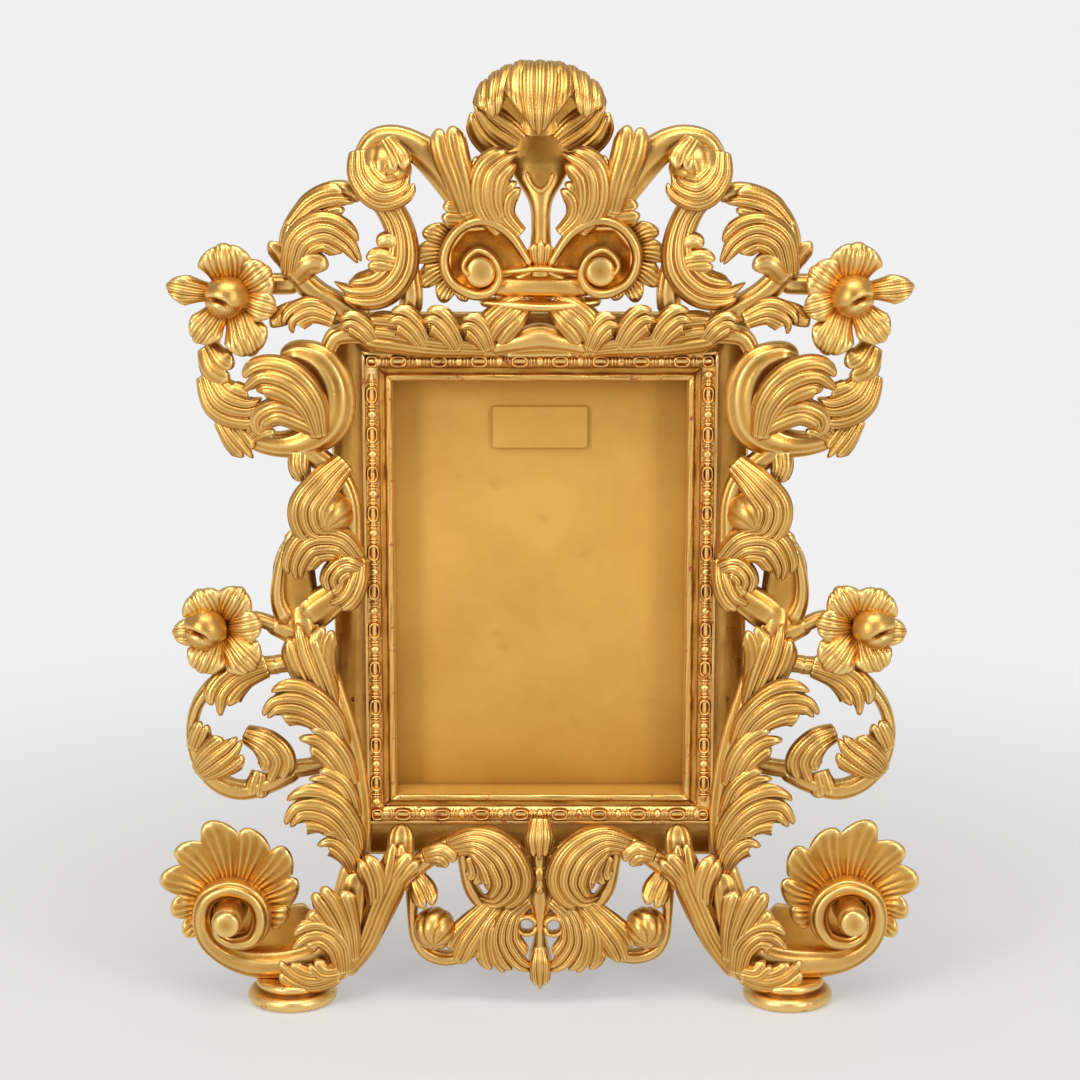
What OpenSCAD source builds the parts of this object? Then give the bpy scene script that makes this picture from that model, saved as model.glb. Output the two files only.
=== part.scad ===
/* [Sight opening] */
// Width of the sight opening
sight_w = 220; // [200:1:240]
// Height of the sight opening
sight_h = 321; // [300:1:340]
// Height of the opening's lower edge above the table
sight_z = 164; // [160:1:170]

/* [Moulding] */
// Width of the round lip at the sight edge
lip_w = 5; // [4:0.5:6]
// Width of the small cove behind the lip
cove_w = 5; // [4:0.5:6]
// Width of the band that carries the beads
bead_band = 10; // [9:0.5:12]
// Width of the outer fillet
fillet_w = 2; // [1.5:0.5:3]
// Depth of the sight rails, from their face to the backboard
rail_depth = 34; // [28:1:40]
// Distance from one long bead to the next
bead_pitch = 29; // [26:1:32]
// Half thickness of a bead
bead_r = 4.2; // [3.5:0.1:4.6]

/* [Box] */
// Width of the hollow cheek at the sides and the top
cheek_w = 25; // [22:1:28]
// Width of the hollow cheek at the bottom
cheek_bottom = 34; // [30:1:38]
// Depth at which the cheek meets the outer edge
cheek_back = 28; // [22:1:30]
// Thickness of the backboard
board_t = 4; // [3:0.5:6]
// Play of the backboard in its rebate
board_play = 1; // [0.5:0.1:2]
// Width of the plaque
plaque_w = 72; // [60:1:84]
// Height of the plaque
plaque_h = 32; // [26:1:38]
// Thickness of the plaque
plaque_t = 4; // [3:0.5:5]
// Distance of the plaque's middle below the opening's top
plaque_drop = 40; // [30:1:55]

/* [Feet] */
// Distance of each foot outside the moulding
foot_out = 60; // [56:1:64]
// Radius of the turned foot
foot_r = 34.5; // [32:0.5:36]
// Height of the turned foot
foot_h = 19; // [17:1:20]

/* [Prop] */
// Height of the hinge pin above the moulding
hinge_up = 11; // [9:1:13]
// Angle of the leg when it stands open
prop_angle = 15; // [13:0.5:17]
// Thickness of the leg
leg_t = 12; // [10:1:14]
// Width of the leg at the hinge
leg_top = 40; // [34:1:48]
// Width of the leg at its foot
leg_foot = 20; // [16:1:24]
// Radius of the hinge pin
pin_r = 2.5; // [2:0.1:3]
// Distance of the pin from the hinge plate
hinge_off = 9; // [8.5:0.5:11]
// Thickness of the hinge plate
plate_t = 2.5; // [2:0.5:3]
// Height of the hinge plate
plate_h = 22; // [20:1:24]
// Thickness of an ear
ear_t = 3; // [2.5:0.5:4]
// Radius of an ear round the pin
ear_r = 7; // [6:0.5:8]

/* [Buttons and screws] */
// Distance of the buttons from the moulding's upper and lower edges
button_end = 92; // [70:1:110]
// Distance of a button's pivot outside the moulding
button_out = 11; // [9:0.5:13]
// Length of a button on the side of the board
button_reach = 25; // [22:1:28]
// Radius of a button's round end
button_r = 6; // [5:0.5:7]
// Thickness of a button
button_t = 2.5; // [2:0.5:3]
// Radius of a screw
screw_r = 2; // [1.5:0.1:2.2]
// Radius of a screw's head
head_r = 4; // [3:0.5:4.5]
// Thickness of a screw's head
head_t = 2; // [1.5:0.5:2.5]
// Length of a screw under its head
screw_len = 18; // [14:1:22]

/* [Hidden] */

gilt = "#d9a441";
ochre = "#c68f3c";
brass = "#b08a3e";
wood = "#8a6238";

running_gap = 0.08;   // radial play of a pin or a screw in its bore
seat_gap = 0.3;       // air beside a moving piece
glue = 0.05;          // glue line under the bead strips
eps = 0.01;

half_w = sight_w / 2;
sight_top = sight_z + sight_h;
moulding_w = lip_w + cove_w + bead_band + fillet_w;
edge_x = half_w + moulding_w;            // outer edges of the moulding
edge_low = sight_z - moulding_w;
edge_high = sight_top + moulding_w;
box_depth = rail_depth + board_t;
board_half = edge_x - board_play;
box_half = edge_x + cheek_w;
foot_x = edge_x + foot_out;
eye_front = 40;       // how far the volute's eye stands forward of the face
hinge_y = box_depth + plate_t + hinge_off;
hinge_z = edge_high + hinge_up;
plate_side = 10;      // width of the hinge plate on each side of its ears
plate_w = leg_top + 2 * (seat_gap + ear_t + plate_side);
button_x = edge_x + button_out;
button_z = [edge_low + button_end, edge_high - button_end];
button_back = box_depth + 2 * seat_gap + button_t;
leg_back = leg_t / 2;
prop_reach = hinge_y + hinge_z * tan(prop_angle) + leg_back / cos(prop_angle);
face_y = (eye_front - prop_reach) / 2;
heel = (hinge_off - seat_gap - leg_back * cos(prop_angle)) / sin(prop_angle);

// Sections of the profiles: u runs outward from the sight edge, y runs back.
function lip_arc(n) = [for (i = [0:n]) let (a = 180 * i / n)
    [lip_w / 2 * (1 - cos(a)), 5 - lip_w / 2 * sin(a)]];
function cove_arc(n) = [for (i = [1:n - 1]) let (a = 180 * i / n)
    [lip_w + cove_w / 2 * (1 - cos(a)), 5 + cove_w / 3 * sin(a)]];
seat_y = 3;           // depth of the bead seat below the face
rail_profile = concat(
    [[0, rail_depth]], lip_arc(8), cove_arc(6),
    [[lip_w + cove_w, seat_y], [moulding_w - fillet_w, seat_y], [moulding_w - fillet_w, 0],
     [moulding_w, 0], [moulding_w, rail_depth]]);
function cheek_profile(w) = concat(
    [[moulding_w, box_depth], [moulding_w, 1]],
    [for (i = [0:6]) let (a = 90 * i / 6)
        [moulding_w + w * (1 - cos(a)), 1 + (cheek_back - 1) * sin(a)]],
    [[moulding_w + w, box_depth]]);

module placed() { translate([0, face_y, 0]) children(); }

// A stick of one profile along a side of the opening, cut to mitres.
module side_stick(profile, len) {
    reach = moulding_w + max(cheek_w, cheek_bottom) + 1;
    front = 60;
    intersection() {
        rotate([90, 0, 90]) translate([0, 0, -len / 2 - reach])
            linear_extrude(len + 2 * reach) polygon([for (p = profile) [p[1], p[0]]]);
        translate([0, -front, 0]) rotate([-90, 0, 0]) mirror([0, 1, 0])
            linear_extrude(2 * front)
                polygon([[-len / 2, 0], [len / 2, 0], [len / 2 + reach, reach],
                         [-len / 2 - reach, reach]]);
    }
}
module on_top(p) { translate([0, 0, sight_top]) side_stick(p, sight_w); }
module on_bottom(p) { translate([0, 0, sight_z]) mirror([0, 0, 1]) side_stick(p, sight_w); }
module on_left(p) {
    translate([-half_w, 0, sight_z + sight_h / 2]) rotate([0, -90, 0]) side_stick(p, sight_h);
}
module on_right(p) { mirror([1, 0, 0]) on_left(p); }

module sight_rail_top() { color(gilt) placed() on_top(rail_profile); }
module sight_rail_bottom() { color(gilt) placed() on_bottom(rail_profile); }
module sight_rail_left() { color(gilt) placed() on_left(rail_profile); }
module sight_rail_right() { color(gilt) placed() on_right(rail_profile); }

// Each strip repeats one long bead between two thin discs and a small round bead.
bead_u = lip_w + cove_w + bead_band / 2;
module round_bead(x, r) { translate([x, seat_y, bead_u]) sphere(r, $fn = 24); }
module bead_disc(x, r, len) {
    translate([x, seat_y, bead_u]) rotate([0, 90, 0]) cylinder(r = r, h = len, center = true, $fn = 24);
}
module bead_run(len) {
    n = floor(len / bead_pitch);
    pitch = len / n;
    long = pitch * 0.22;
    for (i = [0:n - 1]) let (x = (i + 0.5) * pitch - len / 2) {
        round_bead(x - long, bead_r);
        bead_disc(x, bead_r, 2 * long);
        round_bead(x + long, bead_r);
        for (s = [-1, 1]) bead_disc(x + s * pitch * 0.41, bead_r * 0.92, 1.6);
    }
    for (i = [0:n]) round_bead(i * pitch - len / 2, bead_r * 0.8);
}
// The strip is a thin bar below the beads, flat where it lies on the seat.
module bead_strip(len, ends) {
    bar_t = 1.6;
    bar_w = 3;
    reach = len + (ends ? 2 * bead_band : 0);
    intersection() {
        union() {
            bead_run(len);
            translate([-reach / 2, seat_y - bar_t, bead_u - bar_w / 2]) cube([reach, bar_t, bar_w]);
            if (ends) for (s = [-1, 1]) round_bead(s * (len + bead_band) / 2, bead_r);
        }
        translate([-reach / 2, seat_y - 10, 0]) cube([reach, 10 - glue, moulding_w]);
    }
}
module level_strip() { bead_strip(sight_w + 2 * (lip_w + cove_w), true); }
module bead_strip_top() { color(gilt) placed() translate([0, 0, sight_top]) level_strip(); }
module bead_strip_bottom() {
    color(gilt) placed() translate([0, 0, sight_z]) mirror([0, 0, 1]) level_strip();
}
module upright_strip() {
    translate([-half_w, 0, sight_z + sight_h / 2]) rotate([0, -90, 0])
        bead_strip(sight_h + lip_w + cove_w, false);
}
module bead_strip_left() { color(gilt) placed() upright_strip(); }
module bead_strip_right() { color(gilt) placed() mirror([1, 0, 0]) upright_strip(); }

// The box boards: a hollow cheek in front, a plain edge and a flat back.
module pilot_hole(x, y, z) {
    translate([x, y - screw_len - 1, z]) rotate([-90, 0, 0])
        cylinder(r = screw_r + running_gap, h = screw_len + 10, $fn = 24);
}
module hinge_holes() {
    for (s = [-1, 1])
        pilot_hole(s * (plate_w - plate_side) / 2, box_depth + plate_t, hinge_z);
}
module box_top() {
    color(gilt) placed() difference() {
        on_top(cheek_profile(cheek_w));
        hinge_holes();
    }
}
module box_bottom() { color(gilt) placed() bottom_board(cheek_profile(cheek_bottom)); }
// The bottom board is deeper than the sides are wide, so its ends are cut to their width.
module bottom_board(p) {
    intersection() {
        on_bottom(p);
        translate([-box_half, -60, 0]) cube([2 * box_half, 120, sight_z]);
    }
}
module side_board() {
    difference() {
        on_left(cheek_profile(cheek_w));
        for (z = button_z) pilot_hole(-button_x, button_back, z);
    }
}
module box_left() { color(gilt) placed() side_board(); }
module box_right() { color(gilt) placed() mirror([1, 0, 0]) side_board(); }

module backboard() {
    color(ochre) placed() translate([-board_half, rail_depth, edge_low + board_play])
        cube([2 * board_half, board_t, edge_high - edge_low - 2 * board_play]);
}
module plaque_plate() {
    corner = 2;
    color(ochre) placed() translate([0, rail_depth, sight_top - plaque_drop]) rotate([90, 0, 0])
        linear_extrude(plaque_t) hull() for (sx = [-1, 1], sz = [-1, 1])
            translate([sx * (plaque_w / 2 - corner), sz * (plaque_h / 2 - corner)])
                circle(corner, $fn = 24);
}

// The hinge of the prop: a plate with two ears, a pin, and the leg between the ears.
module on_pin() { translate([0, hinge_y, hinge_z]) children(); }
module along_x(r, len) { rotate([0, 90, 0]) cylinder(r = r, h = len, center = true, $fn = 48); }
module hinge_bracket() {
    color(brass) placed() difference() {
        union() {
            translate([-plate_w / 2, box_depth, hinge_z - plate_h / 2]) cube([plate_w, plate_t, plate_h]);
            for (s = [-1, 1]) on_pin() translate([s * (leg_top + ear_t) / 2 + s * seat_gap, 0, 0]) {
                along_x(ear_r, ear_t);
                translate([-ear_t / 2, -hinge_off, -ear_r]) cube([ear_t, hinge_off, 2 * ear_r]);
            }
        }
        on_pin() along_x(pin_r, plate_w * 2);
        hinge_holes();
    }
}
module hinge_pin() {
    color(brass) placed() on_pin() along_x(pin_r, leg_top + 2 * (seat_gap + ear_t) + 2);
}
// The leg narrows to its foot, which is cut level with the table.
module prop_leg() {
    len = hinge_z / cos(prop_angle) + leg_t;
    shoulder = -40;
    color(wood) placed() difference() {
        on_pin() rotate([prop_angle, 0, 0]) difference() {
            translate([0, leg_t / 2, 0]) rotate([90, 0, 0]) linear_extrude(leg_t)
                polygon([[-leg_top / 2, heel], [leg_top / 2, heel], [leg_top / 2, shoulder],
                         [leg_foot / 2, -len], [-leg_foot / 2, -len], [-leg_top / 2, shoulder]]);
            along_x(pin_r + running_gap, leg_top * 2);
        }
        translate([-leg_top, 0, -100]) cube([2 * leg_top, 400, 100]);
    }
}

// A turn button: a flat bar with round ends, free on its screw.
module turn_button(side, z) {
    tip_r = button_r * 2 / 3;
    color(brass) placed() translate([side * button_x, box_depth + seat_gap, z]) rotate([-90, 0, 0])
        difference() {
            linear_extrude(button_t) hull() {
                circle(button_r, $fn = 32);
                translate([-side * (button_reach - tip_r), 0]) circle(tip_r, $fn = 32);
            }
            translate([0, 0, -1]) cylinder(r = screw_r + running_gap, h = button_t + 2, $fn = 32);
        }
}
module turn_button_lower_left() { turn_button(-1, button_z[0]); }
module turn_button_lower_right() { turn_button(1, button_z[0]); }
module turn_button_upper_left() { turn_button(-1, button_z[1]); }
module turn_button_upper_right() { turn_button(1, button_z[1]); }
// Six screws: one through each button and two in the hinge plate.
module screw(x, y, z) {
    translate([x, y, z]) rotate([-90, 0, 0]) {
        translate([0, 0, -screw_len]) cylinder(r = screw_r, h = screw_len + head_t / 2, $fn = 24);
        cylinder(r = head_r, h = head_t, $fn = 24);
    }
}
module back_screws() {
    color(brass) placed() {
        for (s = [-1, 1], z = button_z) screw(s * button_x, button_back, z);
        for (s = [-1, 1]) screw(s * (plate_w - plate_side) / 2, box_depth + plate_t, hinge_z);
    }
}

// A turned foot: a fat lower roll, a groove, and a smaller disc on top.
module foot_disc() {
    roll = foot_h * 0.27;
    translate([-foot_x, 0, 0]) rotate_extrude($fn = 64) {
        translate([foot_r - roll, roll]) circle(roll, $fn = 32);
        square([foot_r - roll, 2 * roll]);
        translate([0, 2 * roll - eps]) square([foot_r - roll - 3, 1.6]);
        translate([foot_r - 2 * roll, foot_h - 3.6]) circle(3.6, $fn = 32);
        translate([0, foot_h - 7.2]) square([foot_r - 2 * roll, 7.2]);
    }
}
module foot_disc_left() { color(gilt) placed() foot_disc(); }
module foot_disc_right() { color(gilt) placed() mirror([1, 0, 0]) foot_disc(); }

// Carving. A row is [x, z, y, half width, half thickness]; y is the depth behind the face.
// It is drawn for an opening of 220 x 321 mm; fit_x and fit_z carry it to other sizes.
function fit_x(x) = sign(x) * lookup(abs(x), [[0, 0], [132, edge_x], [400, edge_x + 268]]);
function fit_z(z) = lookup(z, [[0, 0], [19, foot_h], [142, edge_low], [507, edge_high],
    [900, edge_high + 393]]);
function dir(v) = v / norm(v);
function bend(a, b, c, d, u) = 0.5 * (2 * b + (c - a) * u + (2 * a - 5 * b + 4 * c - d) * u * u
    + (3 * b - a - 3 * c + d) * u * u * u);
function along(p, t) = let (n = len(p), s = t * (n - 1), i = min(floor(s), n - 2))
    bend(p[max(i - 1, 0)], p[i], p[i + 1], p[min(i + 2, n - 1)], s - i);
leaf_section = [[-1, 0], [-0.5, 0.7], [0, 0.35], [0.5, 0.7], [1, 0]];
ridge_section = [[-1, 0], [0, 0.8], [1, 0]];
stem_section = [[-1, -1], [-0.9, 0.4], [0, 1], [0.9, 0.4], [1, -1]];
fluted_section = [for (i = [-7:7]) [i / 7, abs(i) == 7 ? 0 : i % 2 == 0 ? 0.7 : 0.35]];
function stations(rows, n, section, lobes = 0, notch = 0, lean = 0, side = undef) = let (
        p = [for (r = rows) [fit_x(r[0]), fit_z(r[1]), r[2], r[3], r[4]]],
        q = [for (i = [0:n]) along(p, i / n)])
    [for (i = [0:n]) let (
        t = dir([for (j = [0, 2, 1]) q[min(i + 1, n)][j] - q[max(i - 1, 0)][j]]),
        s = is_undef(side) ? dir(cross(t, [0, -1, 0])) : side,
        m = cross(s, t),
        cut = lobes == 0 ? 1 : 1 - notch * abs(cos(180 * lobes * i / n)))
        [for (e = section) let (w = q[i][3] * (abs(e[0]) == 1 ? cut : 1))
            [q[i][0], q[i][2], q[i][1]] + s * e[0] * w + m * e[1] * q[i][4] + t * lean * abs(e[0]) * w]];
// A leaf: lobed edges that lean toward its tip, two crests and a sunk midrib.
module leaf(p, n = 5, lobes = 3, notch = 0.35, lean = 0.6, section = leaf_section, side = undef) {
    k = len(section);
    st = stations(p, n, section, lobes, notch, lean, side);
    polyhedron(points = [for (s = st) each s], faces = concat(
        [for (i = [0:n - 1], j = [0:k - 1]) let (a = i * k + j, b = i * k + (j + 1) % k)
            each [[a, a + k, b], [b, a + k, b + k]]],
        [for (j = [1:k - 2]) [0, j, j + 1]],
        [for (j = [1:k - 2]) [n * k, n * k + j + 1, n * k + j]]));
}
// A stem: a chain of short convex lengths with a full section.
module stem(p, n = 8) {
    k = len(stem_section);
    st = stations(p, n, stem_section);
    ends = [[for (j = [0:k - 1]) j], [for (j = [0:k - 1]) k + j]];
    for (i = [0:n - 1]) hull() polyhedron(points = concat(st[i], st[i + 1]), faces = ends);
}
// A shell: scallops at the given angles and reaches, round an inner edge.
module shell(x, z, y, inner, rim, t, flare = 6) {
    n = len(rim);
    function at(r, a, d) = [fit_x(x) + r * cos(a), y + d, fit_z(z) + r * sin(a)];
    pts = concat([for (e = rim) at(inner, e[0], 0)], [for (e = rim) at(e[1], e[0], -flare)],
                 [for (e = rim) at(e[1], e[0], t - flare)], [for (e = rim) at(inner, e[0], t)]);
    polyhedron(points = pts, faces = concat(
        [for (r = [0:3], i = [0:n - 2]) let (a = r * n + i, b = ((r + 1) % 4) * n + i)
            each [[a, a + 1, b], [a + 1, b + 1, b]]],
        [[0, n, 3 * n], [n, 2 * n, 3 * n]],
        [[n - 1, 4 * n - 1, 2 * n - 1], [2 * n - 1, 4 * n - 1, 3 * n - 1]]));
}
module boss(x, z, y, r, sides = 10) { translate([fit_x(x), y, fit_z(z)]) sphere(r, $fn = sides); }
module forward_peg(x, z, y0, y1, r0, r1) {
    translate([fit_x(x), y0, fit_z(z)]) rotate([90, 0, 0]) cylinder(r1 = r0, r2 = r1, h = y0 - y1, $fn = 14);
}
module flat(points, y0, y1) {
    translate([0, y1, 0]) rotate([90, 0, 0]) linear_extrude(y1 - y0) polygon(points);
}
module plate(points, y0, y1) { flat([for (p = points) [fit_x(p[0]), fit_z(p[1])]], y0, y1); }

// The space of the box and its moulding, which every carving leaves free.
module frame_space() {
    front = -30;
    profile = function(w) concat([[0, box_depth], [0, front], [moulding_w, front]],
        [for (p = cheek_profile(w)) if (p[1] < box_depth) p], [[moulding_w + w, box_depth]]);
    flat([[-half_w, sight_z], [half_w, sight_z], [half_w, sight_top], [-half_w, sight_top]],
         front, box_depth);
    on_top(profile(cheek_w));
    bottom_board(profile(cheek_bottom));
    on_left(profile(cheek_w));
    on_right(profile(cheek_w));
}
// A carved block: its carving inside its glue joints, seated on the box.
module block(outline, y0 = -60, y1 = 40) {
    color(gilt) placed() difference() {
        intersection() {
            union() children();
            plate(outline, y0, y1);
        }
        frame_space();
    }
}

// Foot scroll: the volute's band, the hollow behind its eye, the eye and the stem up to the box.
module foot_scroll() {
    block([[-300, 19], [-158, 19], [-133, 70], [-133, 108], [-300, 108]], -60, 6) {
        stem([[-212, 66, -2, 5, 10], [-219, 88, -2, 5, 10], [-238, 97, -2, 5, 10], [-258, 88, -2, 5, 10],
              [-264, 68, -2, 6, 10], [-257, 46, -2, 7, 10], [-240, 33, -2, 8, 10], [-216, 26, -2, 8, 11],
              [-192, 24, -2, 8, 12], [-168, 32, 0, 9, 12], [-152, 52, 0, 10, 10], [-143, 76, 0, 10, 9],
              [-139, 112, 2, 8, 8]], 22);
        plate([[-216, 84], [-238, 92], [-258, 82], [-260, 60], [-246, 42], [-216, 30], [-170, 30],
               [-165, 58], [-182, 76], [-212, 72]], 1, 6);
        forward_peg(-238, 74, 4, -eye_front, 13, 10);
    }
}
// Foot leaf: the fronds laid on the front of the stem.
module foot_leaf() {
    block([[-212, 19], [-158, 19], [-133, 70], [-133, 108], [-212, 108]], -60, -12) {
        stem([[-156, 22, -14, 6, 6], [-148, 44, -14, 6, 6], [-143, 70, -13, 6, 5], [-140, 106, -12, 4, 4]]);
        leaf([[-153, 28, -14, 5, 6], [-157, 60, -17, 9, 7], [-166, 84, -18, 9, 7], [-184, 97, -22, 5, 4]]);
        leaf([[-148, 50, -14, 4, 5], [-151, 78, -17, 7, 6], [-157, 100, -18, 4, 4]]);
        leaf([[-152, 26, -14, 5, 6], [-162, 47, -19, 8, 7], [-177, 55, -22, 8, 6], [-191, 48, -24, 4, 4]]);
        leaf([[-166, 20, -14, 5, 5], [-184, 26, -19, 8, 6], [-200, 36, -22, 5, 4]]);
    }
}
// Volute shell: a scalloped palmette behind the volute.
module volute_shell() {
    block([[-300, 42], [-180, 42], [-180, 150], [-300, 150]], 6, 40) {
        shell(-238, 70, 6, 18, [[-22, 50], [8, 50], [20, 44], [30, 66], [44, 68], [54, 54], [62, 72],
            [74, 74], [80, 64], [86, 74], [98, 74], [106, 60], [112, 64], [126, 58], [134, 48], [141, 60],
            [152, 58], [162, 36], [172, 41], [188, 40], [198, 34], [208, 40], [226, 32]], 6);
        stem([[-226, 50, 9, 8, 4], [-244, 52, 9, 8, 4], [-256, 62, 9, 8, 4], [-258, 78, 9, 8, 4],
              [-248, 92, 9, 8, 4], [-232, 92, 9, 8, 4], [-220, 80, 9, 8, 4], [-212, 66, 9, 8, 4]]);
    }
}
// Corner leaf: the long leaf that sweeps from the foot to the underside of the box.
module corner_leaf() {
    block([[-158, 19], [-133, 70], [-133, 145], [-100, 145], [-100, 19]]) {
        stem([[-157, 22, 0, 7, 9], [-140, 42, 0, 10, 10], [-126, 66, 0, 10, 10], [-114, 92, 0, 9, 9],
              [-107, 118, 2, 8, 8], [-106, 138, 6, 7, 9]]);
        stem([[-118, 82, 0, 6, 8], [-108, 94, 0, 7, 8], [-96, 104, 0, 7, 8]], 3);
        leaf([[-152, 26, -6, 5, 6], [-135, 50, -13, 10, 6], [-121, 78, -14, 10, 6], [-111, 104, -12, 8, 5],
              [-107, 133, -6, 4, 4]], 6);
    }
}
// Apron scroll: the rising stem, the inner turn and its ribbed leaves.
module apron_scroll() {
    block([[-100, 98], [-62, 98], [-62, 70], [-12, 70], [-12, 145], [-100, 145]]) {
        stem([[-108, 92, 0, 7, 9], [-96, 104, -1, 7, 9], [-84, 114, -2, 7, 9], [-66, 127, -3, 7, 10],
              [-46, 134, -3, 8, 10], [-28, 130, -3, 8, 10], [-8, 114, -2, 7, 9]]);
        stem([[-62, 126, 0, 4, 8], [-57, 104, 0, 5, 8], [-51, 86, 0, 6, 8], [-36, 76, 0, 6, 8], [-20, 78, 0, 6, 8],
              [-8, 92, 0, 5, 8]], 6);
        leaf([[-44, 128, -8, 5, 6], [-40, 112, -13, 10, 7], [-36, 94, -14, 10, 7], [-31, 79, -9, 5, 5]]);
        leaf([[-86, 118, -8, 4, 5], [-73, 123, -12, 7, 6], [-62, 114, -9, 5, 5]], 3, 2, 0.3, 0.4, ridge_section);
    }
}
// Apron ball: a hanging fruit under a small leaf, with the strap that holds it.
module apron_ball() {
    block([[-112, 26], [-62, 26], [-62, 98], [-100, 98], [-100, 80], [-112, 76]]) {
        boss(-81, 60, -6, 16.5);
        stem([[-94, 106, 0, 6, 7], [-96, 88, 0, 5, 7], [-98, 68, 0, 4, 8], [-96, 50, 0, 5, 8], [-88, 38, 0, 5, 8],
              [-74, 34, 0, 5, 8], [-56, 38, -2, 6, 7]], 8);
        leaf([[-95, 100, -2, 4, 5], [-90, 90, -8, 7, 5], [-83, 78, -14, 6, 4]], 3, 2, 0.3, 0.4, ridge_section);
    }
}
// Apron palmette: the middle column, two pierced eyes and three pairs of hanging leaves.
module apron_palmette() {
    block([[-62, 5], [62, 5], [62, 70], [12, 70], [12, 145], [-12, 145], [-12, 70], [-62, 70]]) {
        stem([[0, 144, 4, 9, 9], [0, 120, -2, 8, 10], [0, 100, -4, 8, 10], [0, 84, -4, 10, 10], [0, 66, -3, 6, 9],
              [0, 50, -2, 5, 9], [0, 32, -2, 9, 9], [0, 10, -3, 4, 5]]);
        for (s = [0, 1]) mirror([s, 0, 0]) {
            leaf([[-8, 78, -4, 4, 7], [-19, 69, -6, 7, 7], [-22, 52, -7, 7, 7], [-15, 37, -7, 7, 7], [-6, 24, -5, 4, 5]]);
            leaf([[-22, 74, -4, 6, 6], [-33, 58, -6, 8, 6], [-32, 38, -6, 8, 5], [-23, 22, -4, 4, 4]], 4, 2, 0.35, 0.5, ridge_section);
            leaf([[-34, 76, -3, 6, 6], [-45, 60, -5, 8, 6], [-49, 42, -6, 9, 5], [-44, 26, -3, 4, 4]], 4, 2, 0.35, 0.5, ridge_section);
            stem([[-34, 50, -2, 6, 6], [-50, 42, -2, 7, 6], [-68, 35, -1, 5, 6]], 3);
        }
    }
}
// Lower leaf: the tall acanthus beside the opening, with six fronds.
module lower_leaf() {
    block([[-180, 108], [-131, 108], [-131, 306], [-200, 306], [-200, 258], [-214, 258], [-214, 224], [-190, 224],
           [-190, 172], [-204, 172], [-204, 125], [-180, 125]]) {
        stem([[-139, 100, 2, 8, 8], [-138, 140, 2, 8, 9], [-140, 178, 1, 8, 9], [-147, 215, 0, 8, 8],
              [-159, 255, 0, 8, 8], [-171, 285, 1, 8, 8], [-180, 312, 2, 8, 8]], 9);
        stem([[-168, 264, 0, 6, 7], [-186, 269, 0, 6, 8], [-206, 268, 0, 6, 8]], 3);
        stem([[-152, 192, 2, 6, 6], [-174, 187, 2, 6, 7], [-196, 184, 1, 6, 8]], 3);
        stem([[-176, 284, 2, 6, 7], [-190, 292, 2, 6, 7], [-206, 300, 3, 6, 7]], 3);
        leaf([[-141, 112, -4, 5, 6], [-152, 134, -12, 9, 6], [-165, 138, -14, 9, 6], [-177, 129, -15, 4, 4]]);
        leaf([[-139, 132, -4, 5, 6], [-153, 158, -12, 10, 7], [-173, 165, -16, 11, 7], [-189, 157, -18, 9, 6],
              [-194, 142, -17, 4, 4]], 6);
        leaf([[-141, 160, -4, 5, 6], [-151, 178, -11, 8, 6], [-163, 186, -13, 7, 5], [-175, 180, -14, 4, 4]], 4, 2, 0.35, 0.5, ridge_section);
        leaf([[-144, 180, -4, 5, 6], [-156, 206, -12, 9, 6], [-172, 217, -14, 9, 6], [-187, 217, -15, 5, 4]]);
        leaf([[-151, 212, -4, 5, 6], [-166, 238, -12, 9, 6], [-186, 248, -16, 10, 6], [-203, 243, -17, 8, 5],
              [-209, 231, -16, 4, 4]], 6);
        leaf([[-160, 250, -2, 5, 5], [-165, 275, -6, 6, 5], [-162, 292, -8, 5, 4], [-156, 303, -8, 4, 4]], 4, 2, 0.35, 0.5, ridge_section);
    }
}
// Lower ring: the open scroll at the side, with the fan inside it.
module lower_ring() {
    block([[-275, 277], [-200, 277], [-200, 258], [-214, 258], [-214, 224], [-190, 224], [-190, 172], [-204, 172],
           [-204, 155], [-275, 155]]) {
        stem([[-194, 268, 0, 6, 8], [-222, 266, 0, 6, 9], [-243, 258, 0, 6, 9], [-259, 240, 0, 5, 9], [-264, 215, 0, 5, 9],
              [-259, 192, 0, 6, 9], [-245, 177, 0, 6, 9], [-228, 170, 0, 6, 8], [-206, 174, 0, 6, 8],
              [-184, 184, 1, 6, 8]], 13);
        leaf([[-224, 216, -2, 4, 5], [-208, 211, -6, 7, 6], [-198, 196, -7, 7, 6], [-200, 180, -6, 6, 5]]);
        leaf([[-222, 265, -6, 5, 5], [-236, 252, -11, 8, 5], [-240, 234, -12, 4, 4]], 4, 2, 0.35, 0.5, ridge_section);
        leaf([[-251, 182, -6, 6, 6], [-242, 199, -11, 11, 7], [-233, 213, -11, 8, 5], [-227, 222, -9, 4, 3]]);
        stem([[-225, 265, 0, 6, 7], [-231, 285, 2, 6, 7]], 1);
    }
}
// A flower: a round bud in a ring of petals.
module flower(x, z, y, petals) {
    boss(x, z, y - 8, 13, 8);
    for (p = petals) let (a = p[0], r = p[1])
        leaf([[x + 6 * cos(a), z + 6 * sin(a), y + 2, 7, 6],
              [x + r * 0.65 * cos(a), z + r * 0.65 * sin(a), y - 1, 11, 6],
              [x + r * cos(a), z + r * sin(a), y - 5, 7, 4]], 2, 0, 0, 0, ridge_section);
}
module lower_flower() {
    block([[-280, 277], [-200, 277], [-200, 340], [-280, 340]]) {
        flower(-241, 299, -6, [[8, 30], [60, 34], [108, 28], [192, 27], [250, 26], [318, 34]]);
        stem([[-230, 299, 2, 8, 7], [-214, 303, 3, 6, 7], [-192, 294, 3, 6, 7]], 6);
        stem([[-236, 296, 2, 7, 7], [-230, 272, 1, 6, 7]], 2);
    }
}
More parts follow.
